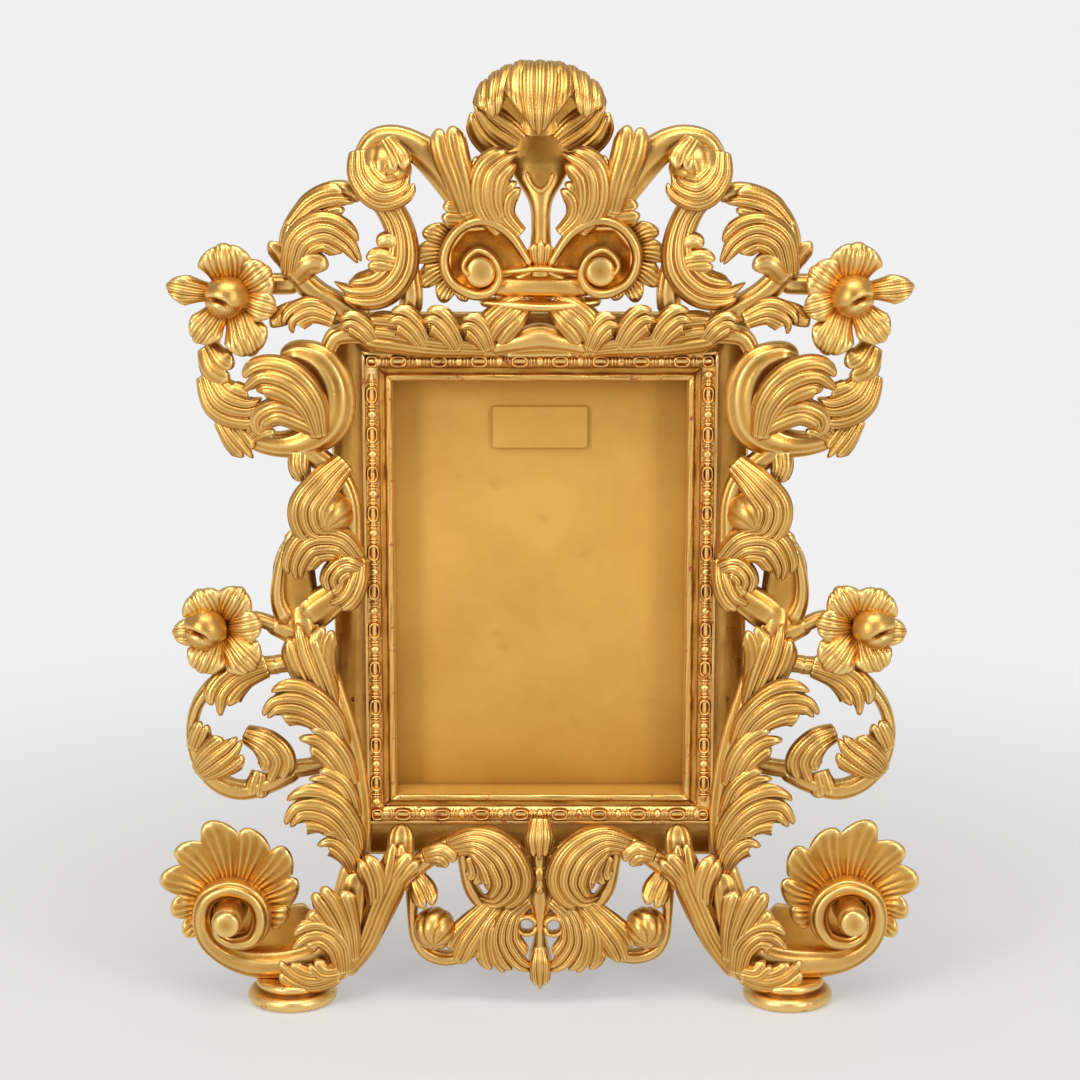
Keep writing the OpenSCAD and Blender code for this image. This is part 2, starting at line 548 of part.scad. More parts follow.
// Waist scroll: a fluted ball in a strap, and the folded leaf below it.
module waist_scroll() {
    block([[-200, 306], [-131, 306], [-131, 430], [-200, 430]]) {
        stem([[-172, 436, 0, 6, 8], [-155, 424, 0, 6, 9], [-144, 408, 0, 6, 9], [-139, 388, 0, 6, 9], [-141, 368, 0, 7, 9],
              [-141, 350, 0, 7, 9], [-143, 334, 0, 7, 9], [-151, 320, 1, 8, 8], [-168, 312, 2, 8, 8], [-182, 300, 2, 8, 8]], 12);
        boss(-159, 387, -6, 21);
        leaf([[-148, 366, -4, 6, 6], [-165, 359, -11, 9, 7], [-182, 352, -13, 9, 6], [-192, 337, -11, 6, 5]]);
        leaf([[-158, 362, -2, 6, 6], [-176, 367, -5, 6, 5], [-188, 373, -5, 4, 4]], 3, 2, 0.3, 0.4, ridge_section);
        stem([[-191, 342, -2, 5, 7], [-194, 324, 0, 5, 8], [-186, 306, 1, 7, 8]], 3);
        leaf([[-156, 430, -4, 6, 6], [-168, 424, -8, 8, 6], [-175, 411, -8, 4, 4]], 3, 2, 0.3, 0.4, ridge_section);
    }
}
// Side scroll: a thick crescent round a fan of ribs.
module side_scroll() {
    block([[-214, 430], [-131, 430], [-131, 500], [-150, 516], [-197, 516], [-197, 498], [-214, 498]]) {
        stem([[-193, 500, 0, 6, 9], [-176, 508, 0, 6, 9], [-157, 502, 0, 8, 10], [-147, 482, 0, 9, 10], [-148, 460, 0, 9, 10],
              [-160, 444, 0, 8, 9], [-180, 437, 0, 8, 9], [-202, 440, 0, 7, 8], [-222, 447, 0, 7, 8]], 12);
        leaf([[-152, 468, -8, 6, 7], [-162, 488, -13, 10, 7], [-176, 498, -14, 9, 6], [-186, 503, -11, 5, 4]]);
        leaf([[-155, 452, -8, 6, 7], [-168, 478, -14, 8, 6], [-190, 488, -15, 8, 5], [-220, 484, -10, 5, 4]]);
        leaf([[-170, 438, -4, 6, 6], [-184, 456, -10, 7, 6], [-194, 463, -13, 6, 5], [-200, 455, -11, 4, 3]], 4, 2, 0.35, 0.5, ridge_section);
    }
}
// Upper ring: the strap that hangs from the upper flower.
module upper_ring() {
    block([[-275, 530], [-225, 530], [-225, 498], [-214, 498], [-214, 425], [-275, 425]]) {
        stem([[-240, 536, 0, 6, 8], [-242, 512, 0, 6, 9], [-243, 490, 0, 6, 9], [-239, 468, 0, 6, 9], [-229, 453, 0, 7, 8],
              [-208, 442, 0, 7, 8]], 9);
        leaf([[-242, 508, -6, 5, 5], [-232, 500, -10, 8, 6], [-224, 495, -10, 5, 4]], 3, 2, 0.3, 0.4, ridge_section);
        leaf([[-240, 480, -6, 5, 5], [-228, 474, -10, 9, 6], [-206, 478, -8, 6, 5]], 4, 2, 0.35, 0.5, ridge_section);
        leaf([[-230, 454, -4, 4, 5], [-220, 440, -6, 6, 5], [-214, 429, -6, 3, 3]], 3, 2, 0.3, 0.4, ridge_section);
    }
}
module upper_flower() {
    block([[-280, 530], [-225, 530], [-225, 498], [-197, 498], [-197, 600], [-280, 600]]) {
        flower(-227, 551, -7, [[28, 33], [91, 31], [187, 34], [236, 30], [291, 41], [343, 30]]);
        stem([[-228, 550, 0, 8, 8], [-208, 555, 3, 6, 7], [-190, 556, 3, 6, 7]], 6);
        stem([[-232, 546, 2, 7, 7], [-239, 524, 1, 6, 7]], 3);
    }
}
// Upper scroll: the big openwork ring with its inner leaf.
module upper_scroll() {
    block([[-197, 516], [-157, 516], [-157, 532], [-90, 532], [-90, 617], [-128, 626], [-142, 640], [-200, 640],
           [-205, 600], [-197, 580]]) {
        stem([[-128, 522, 2, 8, 8], [-146, 538, 2, 8, 9], [-163, 546, 1, 8, 9], [-177, 562, 0, 7, 9], [-184, 584, 0, 6, 9],
              [-179, 606, 0, 6, 9], [-163, 621, 0, 6, 9], [-144, 627, 0, 6, 9], [-129, 623, 0, 5, 8]], 12);
        stem([[-134, 632, 0, 5, 8], [-116, 620, 0, 6, 9], [-104, 602, 0, 7, 9], [-101, 580, 0, 8, 9], [-107, 562, 0, 8, 9],
              [-122, 552, 0, 7, 8], [-142, 552, 0, 5, 8], [-158, 552, 0, 4, 6]], 9);
        leaf([[-178, 568, -6, 5, 6], [-173, 592, -12, 9, 7], [-155, 601, -14, 10, 7], [-140, 592, -13, 8, 5],
              [-133, 574, -11, 4, 4]], 6);
        leaf([[-177, 560, -6, 5, 6], [-172, 574, -10, 7, 6], [-160, 577, -11, 6, 5], [-153, 570, -10, 4, 4]], 4, 2, 0.35, 0.5, ridge_section);
        leaf([[-103, 586, -6, 6, 6], [-112, 591, -9, 6, 5], [-120, 592, -8, 4, 4]], 3, 2, 0.3, 0.4, ridge_section);
        leaf([[-160, 544, -4, 5, 5], [-178, 540, -8, 7, 6], [-192, 534, -8, 6, 4], [-198, 526, -6, 4, 4]], 4, 2, 0.35, 0.5, ridge_section);
        stem([[-176, 556, 1, 6, 7], [-206, 556, 3, 6, 7]], 2);
    }
}
// Top leaf: the long leaf that lies along the top of the box.
module top_leaf() {
    block([[-131, 500], [-131, 503], [-34, 503], [-34, 548], [-90, 548], [-90, 532], [-157, 532], [-157, 516],
           [-150, 516]]) {
        stem([[-158, 496, 4, 5, 7], [-155, 512, 4, 6, 7], [-146, 520, 4, 7, 8], [-120, 520, 4, 8, 8], [-90, 516, 4, 8, 8],
              [-60, 513, 4, 7, 7], [-28, 511, 3, 6, 7]], 9);
        leaf([[-152, 526, 2, 5, 6], [-128, 528, -2, 7, 6], [-104, 526, -3, 6, 6], [-84, 519, -2, 4, 5]]);
        leaf([[-98, 514, -3, 4, 5], [-85, 527, -6, 6, 5], [-74, 540, -4, 4, 4]], 4, 2, 0.35, 0.5, ridge_section);
        leaf([[-82, 512, -3, 4, 5], [-69, 527, -6, 6, 5], [-64, 542, -4, 4, 4]], 4, 2, 0.35, 0.5, ridge_section);
        leaf([[-64, 511, -2, 4, 5], [-51, 521, -5, 6, 5], [-40, 530, -3, 4, 4]], 4, 2, 0.35, 0.5, ridge_section);
    }
}
// Crest arm: the arched strap, the fluted ball at its end and the upright leaf.
module crest_arm() {
    block([[-142, 700], [-142, 640], [-128, 626], [-90, 617], [-90, 606], [-58, 606], [-46, 620], [-46, 700]]) {
        stem([[-132, 652, 0, 5, 8], [-119, 667, 0, 6, 9], [-101, 670, 0, 8, 9], [-85, 660, 0, 10, 9], [-70, 643, 0, 11, 9],
              [-58, 622, 0, 10, 9], [-48, 598, 0, 8, 9]]);
        boss(-113, 644, -4, 21);
        leaf([[-52, 610, -6, 5, 6], [-58, 640, -12, 8, 6], [-66, 664, -12, 8, 5], [-70, 678, -8, 4, 4]]);
        leaf([[-48, 620, -6, 4, 5], [-51, 645, -10, 6, 5], [-56, 668, -8, 4, 4]], 4, 2, 0.35, 0.5, ridge_section);
        leaf([[-54, 628, -2, 6, 6], [-63, 622, -4, 6, 5], [-67, 613, -4, 4, 4]], 3, 2, 0.3, 0.4, ridge_section);
    }
}
// Crest cartouche: two dished volutes, their scalloped fringes, the collar and the stem above.
module crest_cartouche() {
    joint = [[-34, 503], [-34, 548], [-90, 548], [-90, 606], [-58, 606], [-46, 620], [-46, 655]];
    block(concat(joint, [for (i = [len(joint) - 1:-1:0]) [-joint[i][0], joint[i][1]]])) {
        stem([[0, 540, 4, 11, 8], [0, 570, 2, 9, 9], [0, 600, 0, 8, 8], [0, 622, 0, 10, 8], [0, 644, 3, 16, 6],
              [0, 660, 5, 20, 6]], 6);
        stem([[-42, 546, 2, 6, 10], [0, 549, -6, 6, 12], [42, 546, 2, 6, 10]], 4);
        stem([[-30, 560, 2, 6, 9], [0, 564, -4, 6, 11], [30, 560, 2, 6, 9]], 4);
        plate([[-34, 547], [34, 547], [30, 563], [-30, 563]], -3, 5.5);
        stem([[-38, 509, 4, 6, 7], [-16, 515, 0, 9, 9], [0, 518, -1, 11, 10], [16, 515, 0, 9, 9], [38, 509, 4, 6, 7]], 6);
        for (s = [0, 1]) mirror([s, 0, 0]) {
            stem([[-8, 578, -3, 5, 10], [-20, 594, -4, 4, 10], [-38, 603, -4, 4, 10], [-57, 599, -4, 4, 10],
                  [-69, 584, -4, 4, 10], [-69, 566, -4, 4, 10], [-57, 554, -4, 5, 10], [-40, 553, -3, 6, 10]], 9);
            plate([[-4, 560], [-12, 584], [-26, 598], [-56, 598], [-68, 583], [-68, 566], [-56, 553], [-38, 552]], 1.5, 6.5);
            forward_peg(-45, 570, 4, -12, 11, 10);
            shell(-50, 577, 3, 21, [[108, 30], [128, 36], [140, 32], [157, 40], [172, 33], [188, 40], [202, 33], [218, 40],
                [234, 31], [250, 32]], 5, 4);
            leaf([[-20, 596, -4, 6, 6], [-36, 616, -8, 8, 7], [-40, 636, -9, 8, 6], [-31, 649, -9, 7, 5], [-18, 652, -7, 4, 4]]);
            leaf([[-12, 594, -5, 4, 5], [-25, 606, -7, 5, 5], [-27, 622, -8, 6, 5], [-19, 634, -7, 5, 5], [-8, 634, -4, 4, 4]],
                4, 2, 0.3, 0.4, ridge_section);
            leaf([[-15, 550, 0, 9, 7], [-22, 534, -5, 11, 7], [-31, 519, -5, 10, 6], [-36, 506, 0, 6, 5]], 4);
        }
    }
}
// Crest shell: one fluted palmette that rises, bows over and droops, before two pointed back leaves.
module crest_shell() {
    block([[-60, 655], [60, 655], [60, 740], [-60, 740]]) {
        stem([[0, 648, 6, 18, 5], [0, 668, 8, 16, 5], [0, 688, 8, 14, 5]]);
        leaf([[0, 664, 8, 10, 6], [0, 690, 8, 26, 7], [0, 710, 0, 34, 8], [0, 715, -12, 37, 8], [0, 702, -24, 36, 8],
              [0, 684, -30, 30, 7], [0, 670, -28, 18, 5]], 9, 0, 0, -0.25, fluted_section, [1, 0, 0]);
        for (s = [0, 1]) mirror([s, 0, 0])
            leaf([[-6, 652, 8, 6, 5], [-22, 662, 8, 13, 5], [-36, 675, 4, 11, 5], [-44, 690, 0, 4, 4]], 5, 3, 0.2);
    }
}

// The carving is made for the left side and mirrored for the right.
module foot_scroll_left() { foot_scroll(); }
module foot_scroll_right() { mirror([1, 0, 0]) foot_scroll(); }
module foot_leaf_left() { foot_leaf(); }
module foot_leaf_right() { mirror([1, 0, 0]) foot_leaf(); }
module volute_shell_left() { volute_shell(); }
module volute_shell_right() { mirror([1, 0, 0]) volute_shell(); }
module corner_leaf_left() { corner_leaf(); }
module corner_leaf_right() { mirror([1, 0, 0]) corner_leaf(); }
module apron_scroll_left() { apron_scroll(); }
module apron_scroll_right() { mirror([1, 0, 0]) apron_scroll(); }
module apron_ball_left() { apron_ball(); }
module apron_ball_right() { mirror([1, 0, 0]) apron_ball(); }
module lower_leaf_left() { lower_leaf(); }
module lower_leaf_right() { mirror([1, 0, 0]) lower_leaf(); }
module lower_ring_left() { lower_ring(); }
module lower_ring_right() { mirror([1, 0, 0]) lower_ring(); }
module lower_flower_left() { lower_flower(); }
module lower_flower_right() { mirror([1, 0, 0]) lower_flower(); }
module waist_scroll_left() { waist_scroll(); }
module waist_scroll_right() { mirror([1, 0, 0]) waist_scroll(); }
module side_scroll_left() { side_scroll(); }
module side_scroll_right() { mirror([1, 0, 0]) side_scroll(); }
module upper_ring_left() { upper_ring(); }
module upper_ring_right() { mirror([1, 0, 0]) upper_ring(); }
module upper_flower_left() { upper_flower(); }
module upper_flower_right() { mirror([1, 0, 0]) upper_flower(); }
module upper_scroll_left() { upper_scroll(); }
module upper_scroll_right() { mirror([1, 0, 0]) upper_scroll(); }
module top_leaf_left() { top_leaf(); }
module top_leaf_right() { mirror([1, 0, 0]) top_leaf(); }
module crest_arm_left() { crest_arm(); }
module crest_arm_right() { mirror([1, 0, 0]) crest_arm(); }

sight_rail_top();
sight_rail_bottom();
sight_rail_left();
sight_rail_right();
bead_strip_top();
bead_strip_bottom();
bead_strip_left();
bead_strip_right();
box_top();
box_bottom();
box_left();
box_right();
backboard();
plaque_plate();
hinge_bracket();
hinge_pin();
prop_leg();
back_screws();
turn_button_lower_left();
turn_button_lower_right();
turn_button_upper_left();
turn_button_upper_right();
crest_shell();
crest_cartouche();
apron_palmette();
foot_disc_left();
foot_disc_right();
foot_scroll_left();
foot_scroll_right();
volute_shell_left();
volute_shell_right();
foot_leaf_left();
foot_leaf_right();
corner_leaf_left();
corner_leaf_right();
apron_scroll_left();
apron_scroll_right();
apron_ball_left();
apron_ball_right();
lower_leaf_left();
lower_leaf_right();
lower_ring_left();
lower_ring_right();
lower_flower_left();
lower_flower_right();
waist_scroll_left();
waist_scroll_right();
side_scroll_left();
side_scroll_right();
upper_ring_left();
upper_ring_right();
upper_flower_left();
upper_flower_right();
upper_scroll_left();
upper_scroll_right();
top_leaf_left();
top_leaf_right();
crest_arm_left();
crest_arm_right();
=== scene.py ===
import math
import bpy
import numpy as np
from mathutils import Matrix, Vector


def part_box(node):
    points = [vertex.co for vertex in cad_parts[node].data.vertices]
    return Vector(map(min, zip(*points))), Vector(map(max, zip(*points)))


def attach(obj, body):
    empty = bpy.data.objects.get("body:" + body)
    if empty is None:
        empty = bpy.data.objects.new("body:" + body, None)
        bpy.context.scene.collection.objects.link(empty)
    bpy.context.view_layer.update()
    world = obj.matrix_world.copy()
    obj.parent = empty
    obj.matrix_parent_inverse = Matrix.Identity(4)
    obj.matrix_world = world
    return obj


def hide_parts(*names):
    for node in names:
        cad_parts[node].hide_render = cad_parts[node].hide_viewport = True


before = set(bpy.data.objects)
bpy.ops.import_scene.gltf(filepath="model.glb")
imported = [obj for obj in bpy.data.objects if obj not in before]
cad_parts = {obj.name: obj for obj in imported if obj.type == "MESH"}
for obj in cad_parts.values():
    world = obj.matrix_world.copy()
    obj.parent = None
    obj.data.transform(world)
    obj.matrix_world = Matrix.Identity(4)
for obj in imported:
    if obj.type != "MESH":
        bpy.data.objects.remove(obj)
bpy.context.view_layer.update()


# Sight rails: four mitred lengths of lime wood round the opening, each planed with a round
# lip, a cove, a flat seat for the beads and a narrow fillet. Coated with gesso and gilded;
# their inner sides are painted with the backboard.
sight_half = round(1000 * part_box("sight_rail_right")[0][0], 2)
sight_low = round(1000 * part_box("sight_rail_bottom")[1][2], 2)
sight_high = round(1000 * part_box("sight_rail_top")[0][2], 2)
lip_w, cove_w, band_w, fillet_w = 5, 5, 10, 2
band_at = lip_w + cove_w
fillet_at = band_at + band_w
moulding_w = fillet_at + fillet_w
lip_foot, cove_sunk, seat_y, rail_back = 5, 1.7, 3, 34


def linear(code):
    """An sRGB hex colour as linear red, green, blue and alpha."""
    parts = [int(code[i : i + 2], 16) / 255 for i in (1, 3, 5)]
    return [c / 12.92 if c <= 0.04045 else ((c + 0.055) / 1.055) ** 2.4 for c in parts] + [1.0]


def add(tree, kind, inputs=None, **settings):
    """Adds a node. An input takes a constant, a hex colour, an output, or a node for its output."""
    node = tree.nodes.new(kind)
    for key, value in settings.items():
        setattr(node, key, value)
    for key, value in (inputs or {}).items():
        if isinstance(value, bpy.types.Node):
            value = next(output for output in value.outputs if output.enabled)
        if isinstance(value, bpy.types.NodeSocket):
            tree.links.new(value, node.inputs[key])
        else:
            node.inputs[key].default_value = linear(value) if isinstance(value, str) else value
    return node


def material(name):
    """An empty material: its tree, and the place on the object in metres."""
    made = bpy.data.materials.new(name)
    made.use_nodes = True
    tree = made.node_tree
    tree.nodes.clear()
    return made, tree, add(tree, "ShaderNodeTexCoord").outputs["Object"]


# What many nodes are set to: a smooth step between two values, and a mix of two colours.
smooth = {"interpolation_type": "SMOOTHSTEP"}
colours = {"data_type": "RGBA"}


# Gilding: water-gilded gold leaf over red clay. It is laid in small overlapping leaves and
# burnished; the ridges are painted bright and warm as a highlight, the hollows brown with
# dirt and painted shade, and a few edges are rubbed down to the red clay.
def gilding(name, clay, dirt_and_shade_colour):
    """Gold leaf with clay on a share of its ridges, a painted highlight on them, and dirt and painted shade
    in its hollows.
    """
    made, tree, place = material(name)
    hollow = add(tree, "ShaderNodeAttribute", attribute_name="hollow").outputs["Fac"]
    back = add(tree, "ShaderNodeAttribute", attribute_name="back").outputs["Fac"]
    broad = add(tree, "ShaderNodeTexNoise", {"Vector": place, "Scale": 28, "Detail": 4, "Roughness": 0.55})
    fine = add(tree, "ShaderNodeTexNoise", {"Vector": place, "Scale": 420, "Detail": 4, "Roughness": 0.65})
    grain = add(tree, "ShaderNodeTexNoise", {"Vector": place, "Scale": 1700, "Detail": 2, "Roughness": 0.55})
    # Old leaf is uneven in colour over a few centimetres; its burnished ridges are painted palest as a
    # highlight.
    patch = add(tree, "ShaderNodeMapRange", {"Value": broad, 1: 0.3, 2: 0.7}, **smooth)
    leaf = add(tree, "ShaderNodeMix", {0: patch, 6: "#be8636", 7: "#dba551"}, **colours)
    ridge = add(tree, "ShaderNodeMapRange", {"Value": hollow, 1: 0.46, 2: 0.2, 4: 0.8}, **smooth)
    leaf = add(tree, "ShaderNodeMix", {0: ridge, 6: leaf, 7: "#ffdb8e"}, **colours)
    # Dust and old varnish settle in the hollows, and painted shade darkens them as well.
    ragged = add(tree, "ShaderNodeMath", {0: fine, 1: 0.25, 2: hollow}, operation="MULTIPLY_ADD")
    dirt_and_shade = add(tree, "ShaderNodeMapRange", {"Value": ragged, 1: 0.6, 2: 0.95, 4: 0.9}, **smooth)
    leaf = add(tree, "ShaderNodeMix", {0: dirt_and_shade, 6: leaf, 7: dirt_and_shade_colour}, **colours)
    # Rubbed spots show the clay.
    rub = add(tree, "ShaderNodeTexNoise", {"Vector": place, "Scale": 95, "Detail": 5, "Roughness": 0.7})
    spots = add(tree, "ShaderNodeMath", {0: fine, 1: 0.3, 2: rub}, operation="MULTIPLY_ADD")
    worn = add(tree, "ShaderNodeMapRange", {"Value": spots, 1: 0.86 - clay, 2: 0.9 - clay}, **smooth)
    raised = add(tree, "ShaderNodeMapRange", {"Value": hollow, 1: 0.6, 2: 0.45}, **smooth)
    bare = add(tree, "ShaderNodeMath", {0: worn, 1: raised}, operation="MULTIPLY")
    leaf = add(tree, "ShaderNodeMix", {0: bare, 6: leaf, 7: "#a8502a"}, **colours)
    # The back was only washed with ochre.
    coat = add(tree, "ShaderNodeTexNoise", {"Vector": place, "Scale": 60, "Detail": 5, "Roughness": 0.55})
    coat = add(tree, "ShaderNodeMapRange", {"Value": coat, 1: 0.3, 2: 0.7}, **smooth)
    wash = add(tree, "ShaderNodeMix", {0: coat, 6: "#9c6a28", 7: "#b58238"}, **colours)
    leaf = add(tree, "ShaderNodeMix", {0: back, 6: leaf, 7: wash}, **colours)
    # Clay and wash are no metal, and the dirt and painted shade take up to about half of the shine.
    dirt_and_shade_dulling = add(tree, "ShaderNodeMath", {0: dirt_and_shade, 1: 0.5}, operation="MULTIPLY")
    dull = add(tree, "ShaderNodeMath", {0: bare, 1: back}, operation="MAXIMUM")
    dull = add(tree, "ShaderNodeMath", {0: dull, 1: dirt_and_shade_dulling}, operation="MAXIMUM")
    metal = add(tree, "ShaderNodeMapRange", {"Value": dull, 3: 1.0, 4: 0.0}, **smooth)
    polish = add(tree, "ShaderNodeTexNoise", {"Vector": place, "Scale": 70, "Detail": 4, "Roughness": 0.55})
    sheen = add(tree, "ShaderNodeMapRange", {"Value": polish, 1: 0.3, 2: 0.7, 3: 0.27, 4: 0.4}, **smooth)
    rough = add(tree, "ShaderNodeMath", {0: dull, 1: 0.35, 2: sheen}, operation="MULTIPLY_ADD")
    height = add(tree, "ShaderNodeMath", {0: grain, 1: 0.35, 2: fine}, operation="MULTIPLY_ADD")
    bump = add(tree, "ShaderNodeBump", {"Height": height, "Strength": 0.3, "Distance": 0.0006})
    surface = add(tree, "ShaderNodeBsdfPrincipled",
                  {"Base Color": leaf, "Metallic": metal, "Roughness": rough, "Normal": bump})
    add(tree, "ShaderNodeOutputMaterial", {"Surface": surface})
    return made


# Everything is laid out in millimetres from the face of the moulding, x to the right, y
# back and z up, and shape() brings it to metres in the frame that all parts share.
face_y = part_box("sight_rail_top")[0][1]


def outward(places, faces):
    """The part with its faces turned outwards, told by the sign of its volume."""
    a, b, c, d = (places[faces[:, i]] - places.mean(0) for i in range(4))
    volume = (a * np.cross(b, c)).sum() + (a * np.cross(c, d)).sum()
    return places, faces if volume > 0 else faces[:, ::-1]


def shape(name, parts, finish):
    """One mesh of closed parts, each given as places in mm and faces of four corners."""
    parts = [outward(p, f) for p, f in parts]
    places = np.concatenate([p for p, f in parts])
    start = np.cumsum([0] + [len(p) for p, f in parts])
    faces = np.concatenate([f + s for (p, f), s in zip(parts, start)])
    name = name.replace(" ", "_")
    mesh = bpy.data.meshes.new(name)
    mesh.vertices.add(len(places))
    mesh.vertices.foreach_set("co", (places / 1000 + [0, face_y, 0]).astype(np.float32).ravel())
    mesh.loops.add(4 * len(faces))
    mesh.loops.foreach_set("vertex_index", faces.astype(np.int32).ravel())
    mesh.polygons.add(len(faces))
    mesh.polygons.foreach_set("loop_start", np.arange(0, 4 * len(faces), 4, dtype=np.int32))
    mesh.update(calc_edges=True)
    mesh.validate()
    mesh.shade_smooth()
    mesh.materials.append(finish)
    made = bpy.data.objects.new(name, mesh)
    bpy.context.scene.collection.objects.link(made)
    return made


def hollows(made, reach=3):
    """Stores how deep each point lies in a hollow, and whether it faces back.

    A hollow is where a point's neighbours stand before it. It is evened out over that many
    steps along the edges; flat ground gets 0.45, ridges less and hollows more.
    """
    mesh = made.data
    count = len(mesh.vertices)
    place = np.zeros(count * 3, np.float32)
    mesh.vertices.foreach_get("co", place)
    place = place.reshape(-1, 3) * 1000
    normal = np.zeros(count * 3, np.float32)
    mesh.vertices.foreach_get("normal", normal)
    normal = normal.reshape(-1, 3)
    edge = np.zeros(len(mesh.edges) * 2, np.int32)
    mesh.edges.foreach_get("vertices", edge)
    a, b = edge.reshape(-1, 2).T
    step = place[b] - place[a]
    size = np.linalg.norm(step, axis=1) + 1e-6
    degree = np.bincount(a, minlength=count) + np.bincount(b, minlength=count)
    degree = np.maximum(degree, 1)

    def spread(from_a, from_b):
        total = np.bincount(a, from_a, count) + np.bincount(b, from_b, count)
        return total / degree

    value = spread((step * normal[a]).sum(1) / size, -(step * normal[b]).sum(1) / size)
    for _ in range(reach):
        value = 0.5 * value + 0.5 * spread(value[b], value[a])
    value = np.clip(0.45 + 2.2 * value, 0, 1)
    facing = np.clip((normal[:, 1] - 0.35) / 0.3, 0, 1)
    for word, data in (("hollow", value), ("back", facing)):
        stored = mesh.attributes.new(word, "FLOAT", "POINT")
        stored.data.foreach_set("value", data.astype(np.float32))


def loft(rings):
    """A closed skin over rings of places, with its ends drawn to their middles."""
    rings = np.asarray(rings, float)
    first, last = rings[:1].mean(1, keepdims=True), rings[-1:].mean(1, keepdims=True)
    k = rings.shape[1]
    rings = np.concatenate([np.repeat(first, k, 1), rings, np.repeat(last, k, 1)])
    n = len(rings)
    i, j = np.meshgrid(np.arange(n - 1), np.arange(k), indexing="ij")
    a, b = i * k + j, i * k + (j + 1) % k
    faces = np.stack([a, b, b + k, a + k], -1).reshape(-1, 4)
    return rings.reshape(-1, 3), faces


def in_place(made, node):
    """The piece stands in for the solid of that node and rides on the frame."""
    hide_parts(node)
    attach(made, "frame")


def on_side(side, along, out, depth):
    """A place on one side of the opening: along it, outwards from its edge, and back."""
    middle = (sight_low + sight_high) / 2
    if side == "top":
        return np.stack([along, depth, sight_high + out], -1)
    if side == "bottom":
        return np.stack([-along, depth, sight_low - out], -1)
    if side == "left":
        return np.stack([-sight_half - out, depth, middle + along], -1)
    return np.stack([sight_half + out, depth, middle - along], -1)


def side_half(side):
    """Half the length of a side of the opening."""
    return sight_half if side in ("top", "bottom") else (sight_high - sight_low) / 2


def moulding(side, profile):
    """A mitred length of a profile of (outwards, back) points, very slightly uneven."""
    out, depth = np.array(profile, float).T
    along = np.linspace(-1, 1, 61)[:, None] * (side_half(side) + out)
    uneven = 0.12 * np.sin(along / 17 + out) + 0.08 * np.sin(along / 7.3 + 2 * out)
    return loft(on_side(side, along, out + 0 * along, depth + uneven))


def rounded(corners, radius, steps=4):
    """The points of an outline with each corner rounded by steps + 1 points."""
    points = np.array(corners, float)
    result = []
    for before, corner, after in zip(np.roll(points, 1, 0), points, np.roll(points, -1, 0)):
        into, away = before - corner, after - corner
        reach = min(radius, np.linalg.norm(into) / 2, np.linalg.norm(away) / 2)
        p = corner + into / np.linalg.norm(into) * reach
        q = corner + away / np.linalg.norm(away) * reach
        for t in np.linspace(0, 1, steps + 1):
            result.append((1 - t) ** 2 * p + 2 * t * (1 - t) * corner + t**2 * q)
    return result


# The last colour is the dirt and painted shade that gather in the hollows.
worn_gold = gilding("worn gold leaf", 0.1, "#7c3413")
lip = [(lip_w / 2 * (1 - math.cos(a)), lip_foot - lip_w / 2 * math.sin(a))
       for a in np.linspace(0, math.pi, 15)]
cove = [(lip_w + cove_w / 2 * (1 - math.cos(a)), lip_foot + cove_sunk * math.sin(a))
        for a in np.linspace(0.1, math.pi, 13)]
# Only the fillet's corners are kept, five points each: its foot on the seat and its two edges.
outer = rounded([(band_at, seat_y), (fillet_at, seat_y), (fillet_at, 0), (moulding_w, 0),
                 (moulding_w, rail_back)], 0.5)[5:20]
rail_profile = [(0, rail_back), (0, 24), (0, 14), *lip, *cove, *outer, (moulding_w, 12),
                (moulding_w, rail_back)]
rails = []
for side in ("top", "bottom", "left", "right"):
    made = shape("sight rail " + side, [moulding(side, rail_profile)], worn_gold)
    rails.append(made)
    hollows(made)
    in_place(made, "sight_rail_" + side)


# Bead strips: lime wood carved in the round on a thin bar and glued on the seat. Hollow
# oval pods stand between thin discs and small beads; the clay shows in many of the pods.
bead_pitch = 29
unit_length = 30
bead_u = band_at + band_w / 2


def pod(length, width, height, sunk, turns=36, rings=16):
    """A raised oval rim round a sunk middle, in plan x and z, standing towards -y."""
    r, a = np.meshgrid(np.linspace(0, 1, rings), np.linspace(0, 2 * math.pi, turns, endpoint=False),
                       indexing="ij")
    rim = np.exp(-(((r - 0.74) / 0.2) ** 2))
    rise = height * (rim + (1 - sunk) * np.exp(-((r / 0.55) ** 2)) * 0.8) * (1 - r**8)
    square = (np.abs(np.cos(a)) ** 2.6 + np.abs(np.sin(a)) ** 2.6) ** (-1 / 2.6)
    top = np.stack([length * r * square * np.cos(a), -rise, width * r * square * np.sin(a)], -1)
    return loft(np.concatenate([top, top[-1:] * [1, 0, 1] + [0, 0.4, 0]]))


def turned_bead(centre, half, tall, fullness, turns=24):
    """A disc or bead turned about the x axis; the fuller, the squarer its edge."""
    t = np.linspace(0, math.pi, 11)[:, None]
    a = np.linspace(0, 2 * math.pi, turns, endpoint=False)
    x, radius = centre - half * np.cos(t), tall * np.sin(t) ** (1 / fullness) + 0.01
    return loft(np.stack([x + 0 * a, radius * np.cos(a), radius * np.sin(a)], -1))


# One unit lies along x: a small bead at its start and a pod between two pairs of discs.
pod_places, pod_faces = pod(7.6, 5, 4.6, 0.95)
bead_unit = [(pod_places + [unit_length / 2, 0, 0], pod_faces)]
for way in (-1, 1):
    for away, tall in ((8.6, 4.2), (10.7, 3.6)):
        bead_unit.append(turned_bead(unit_length / 2 + way * away, 0.8, tall, 2.5))
bead_unit.append(turned_bead(0, 3.2, 4.0, 1.25))


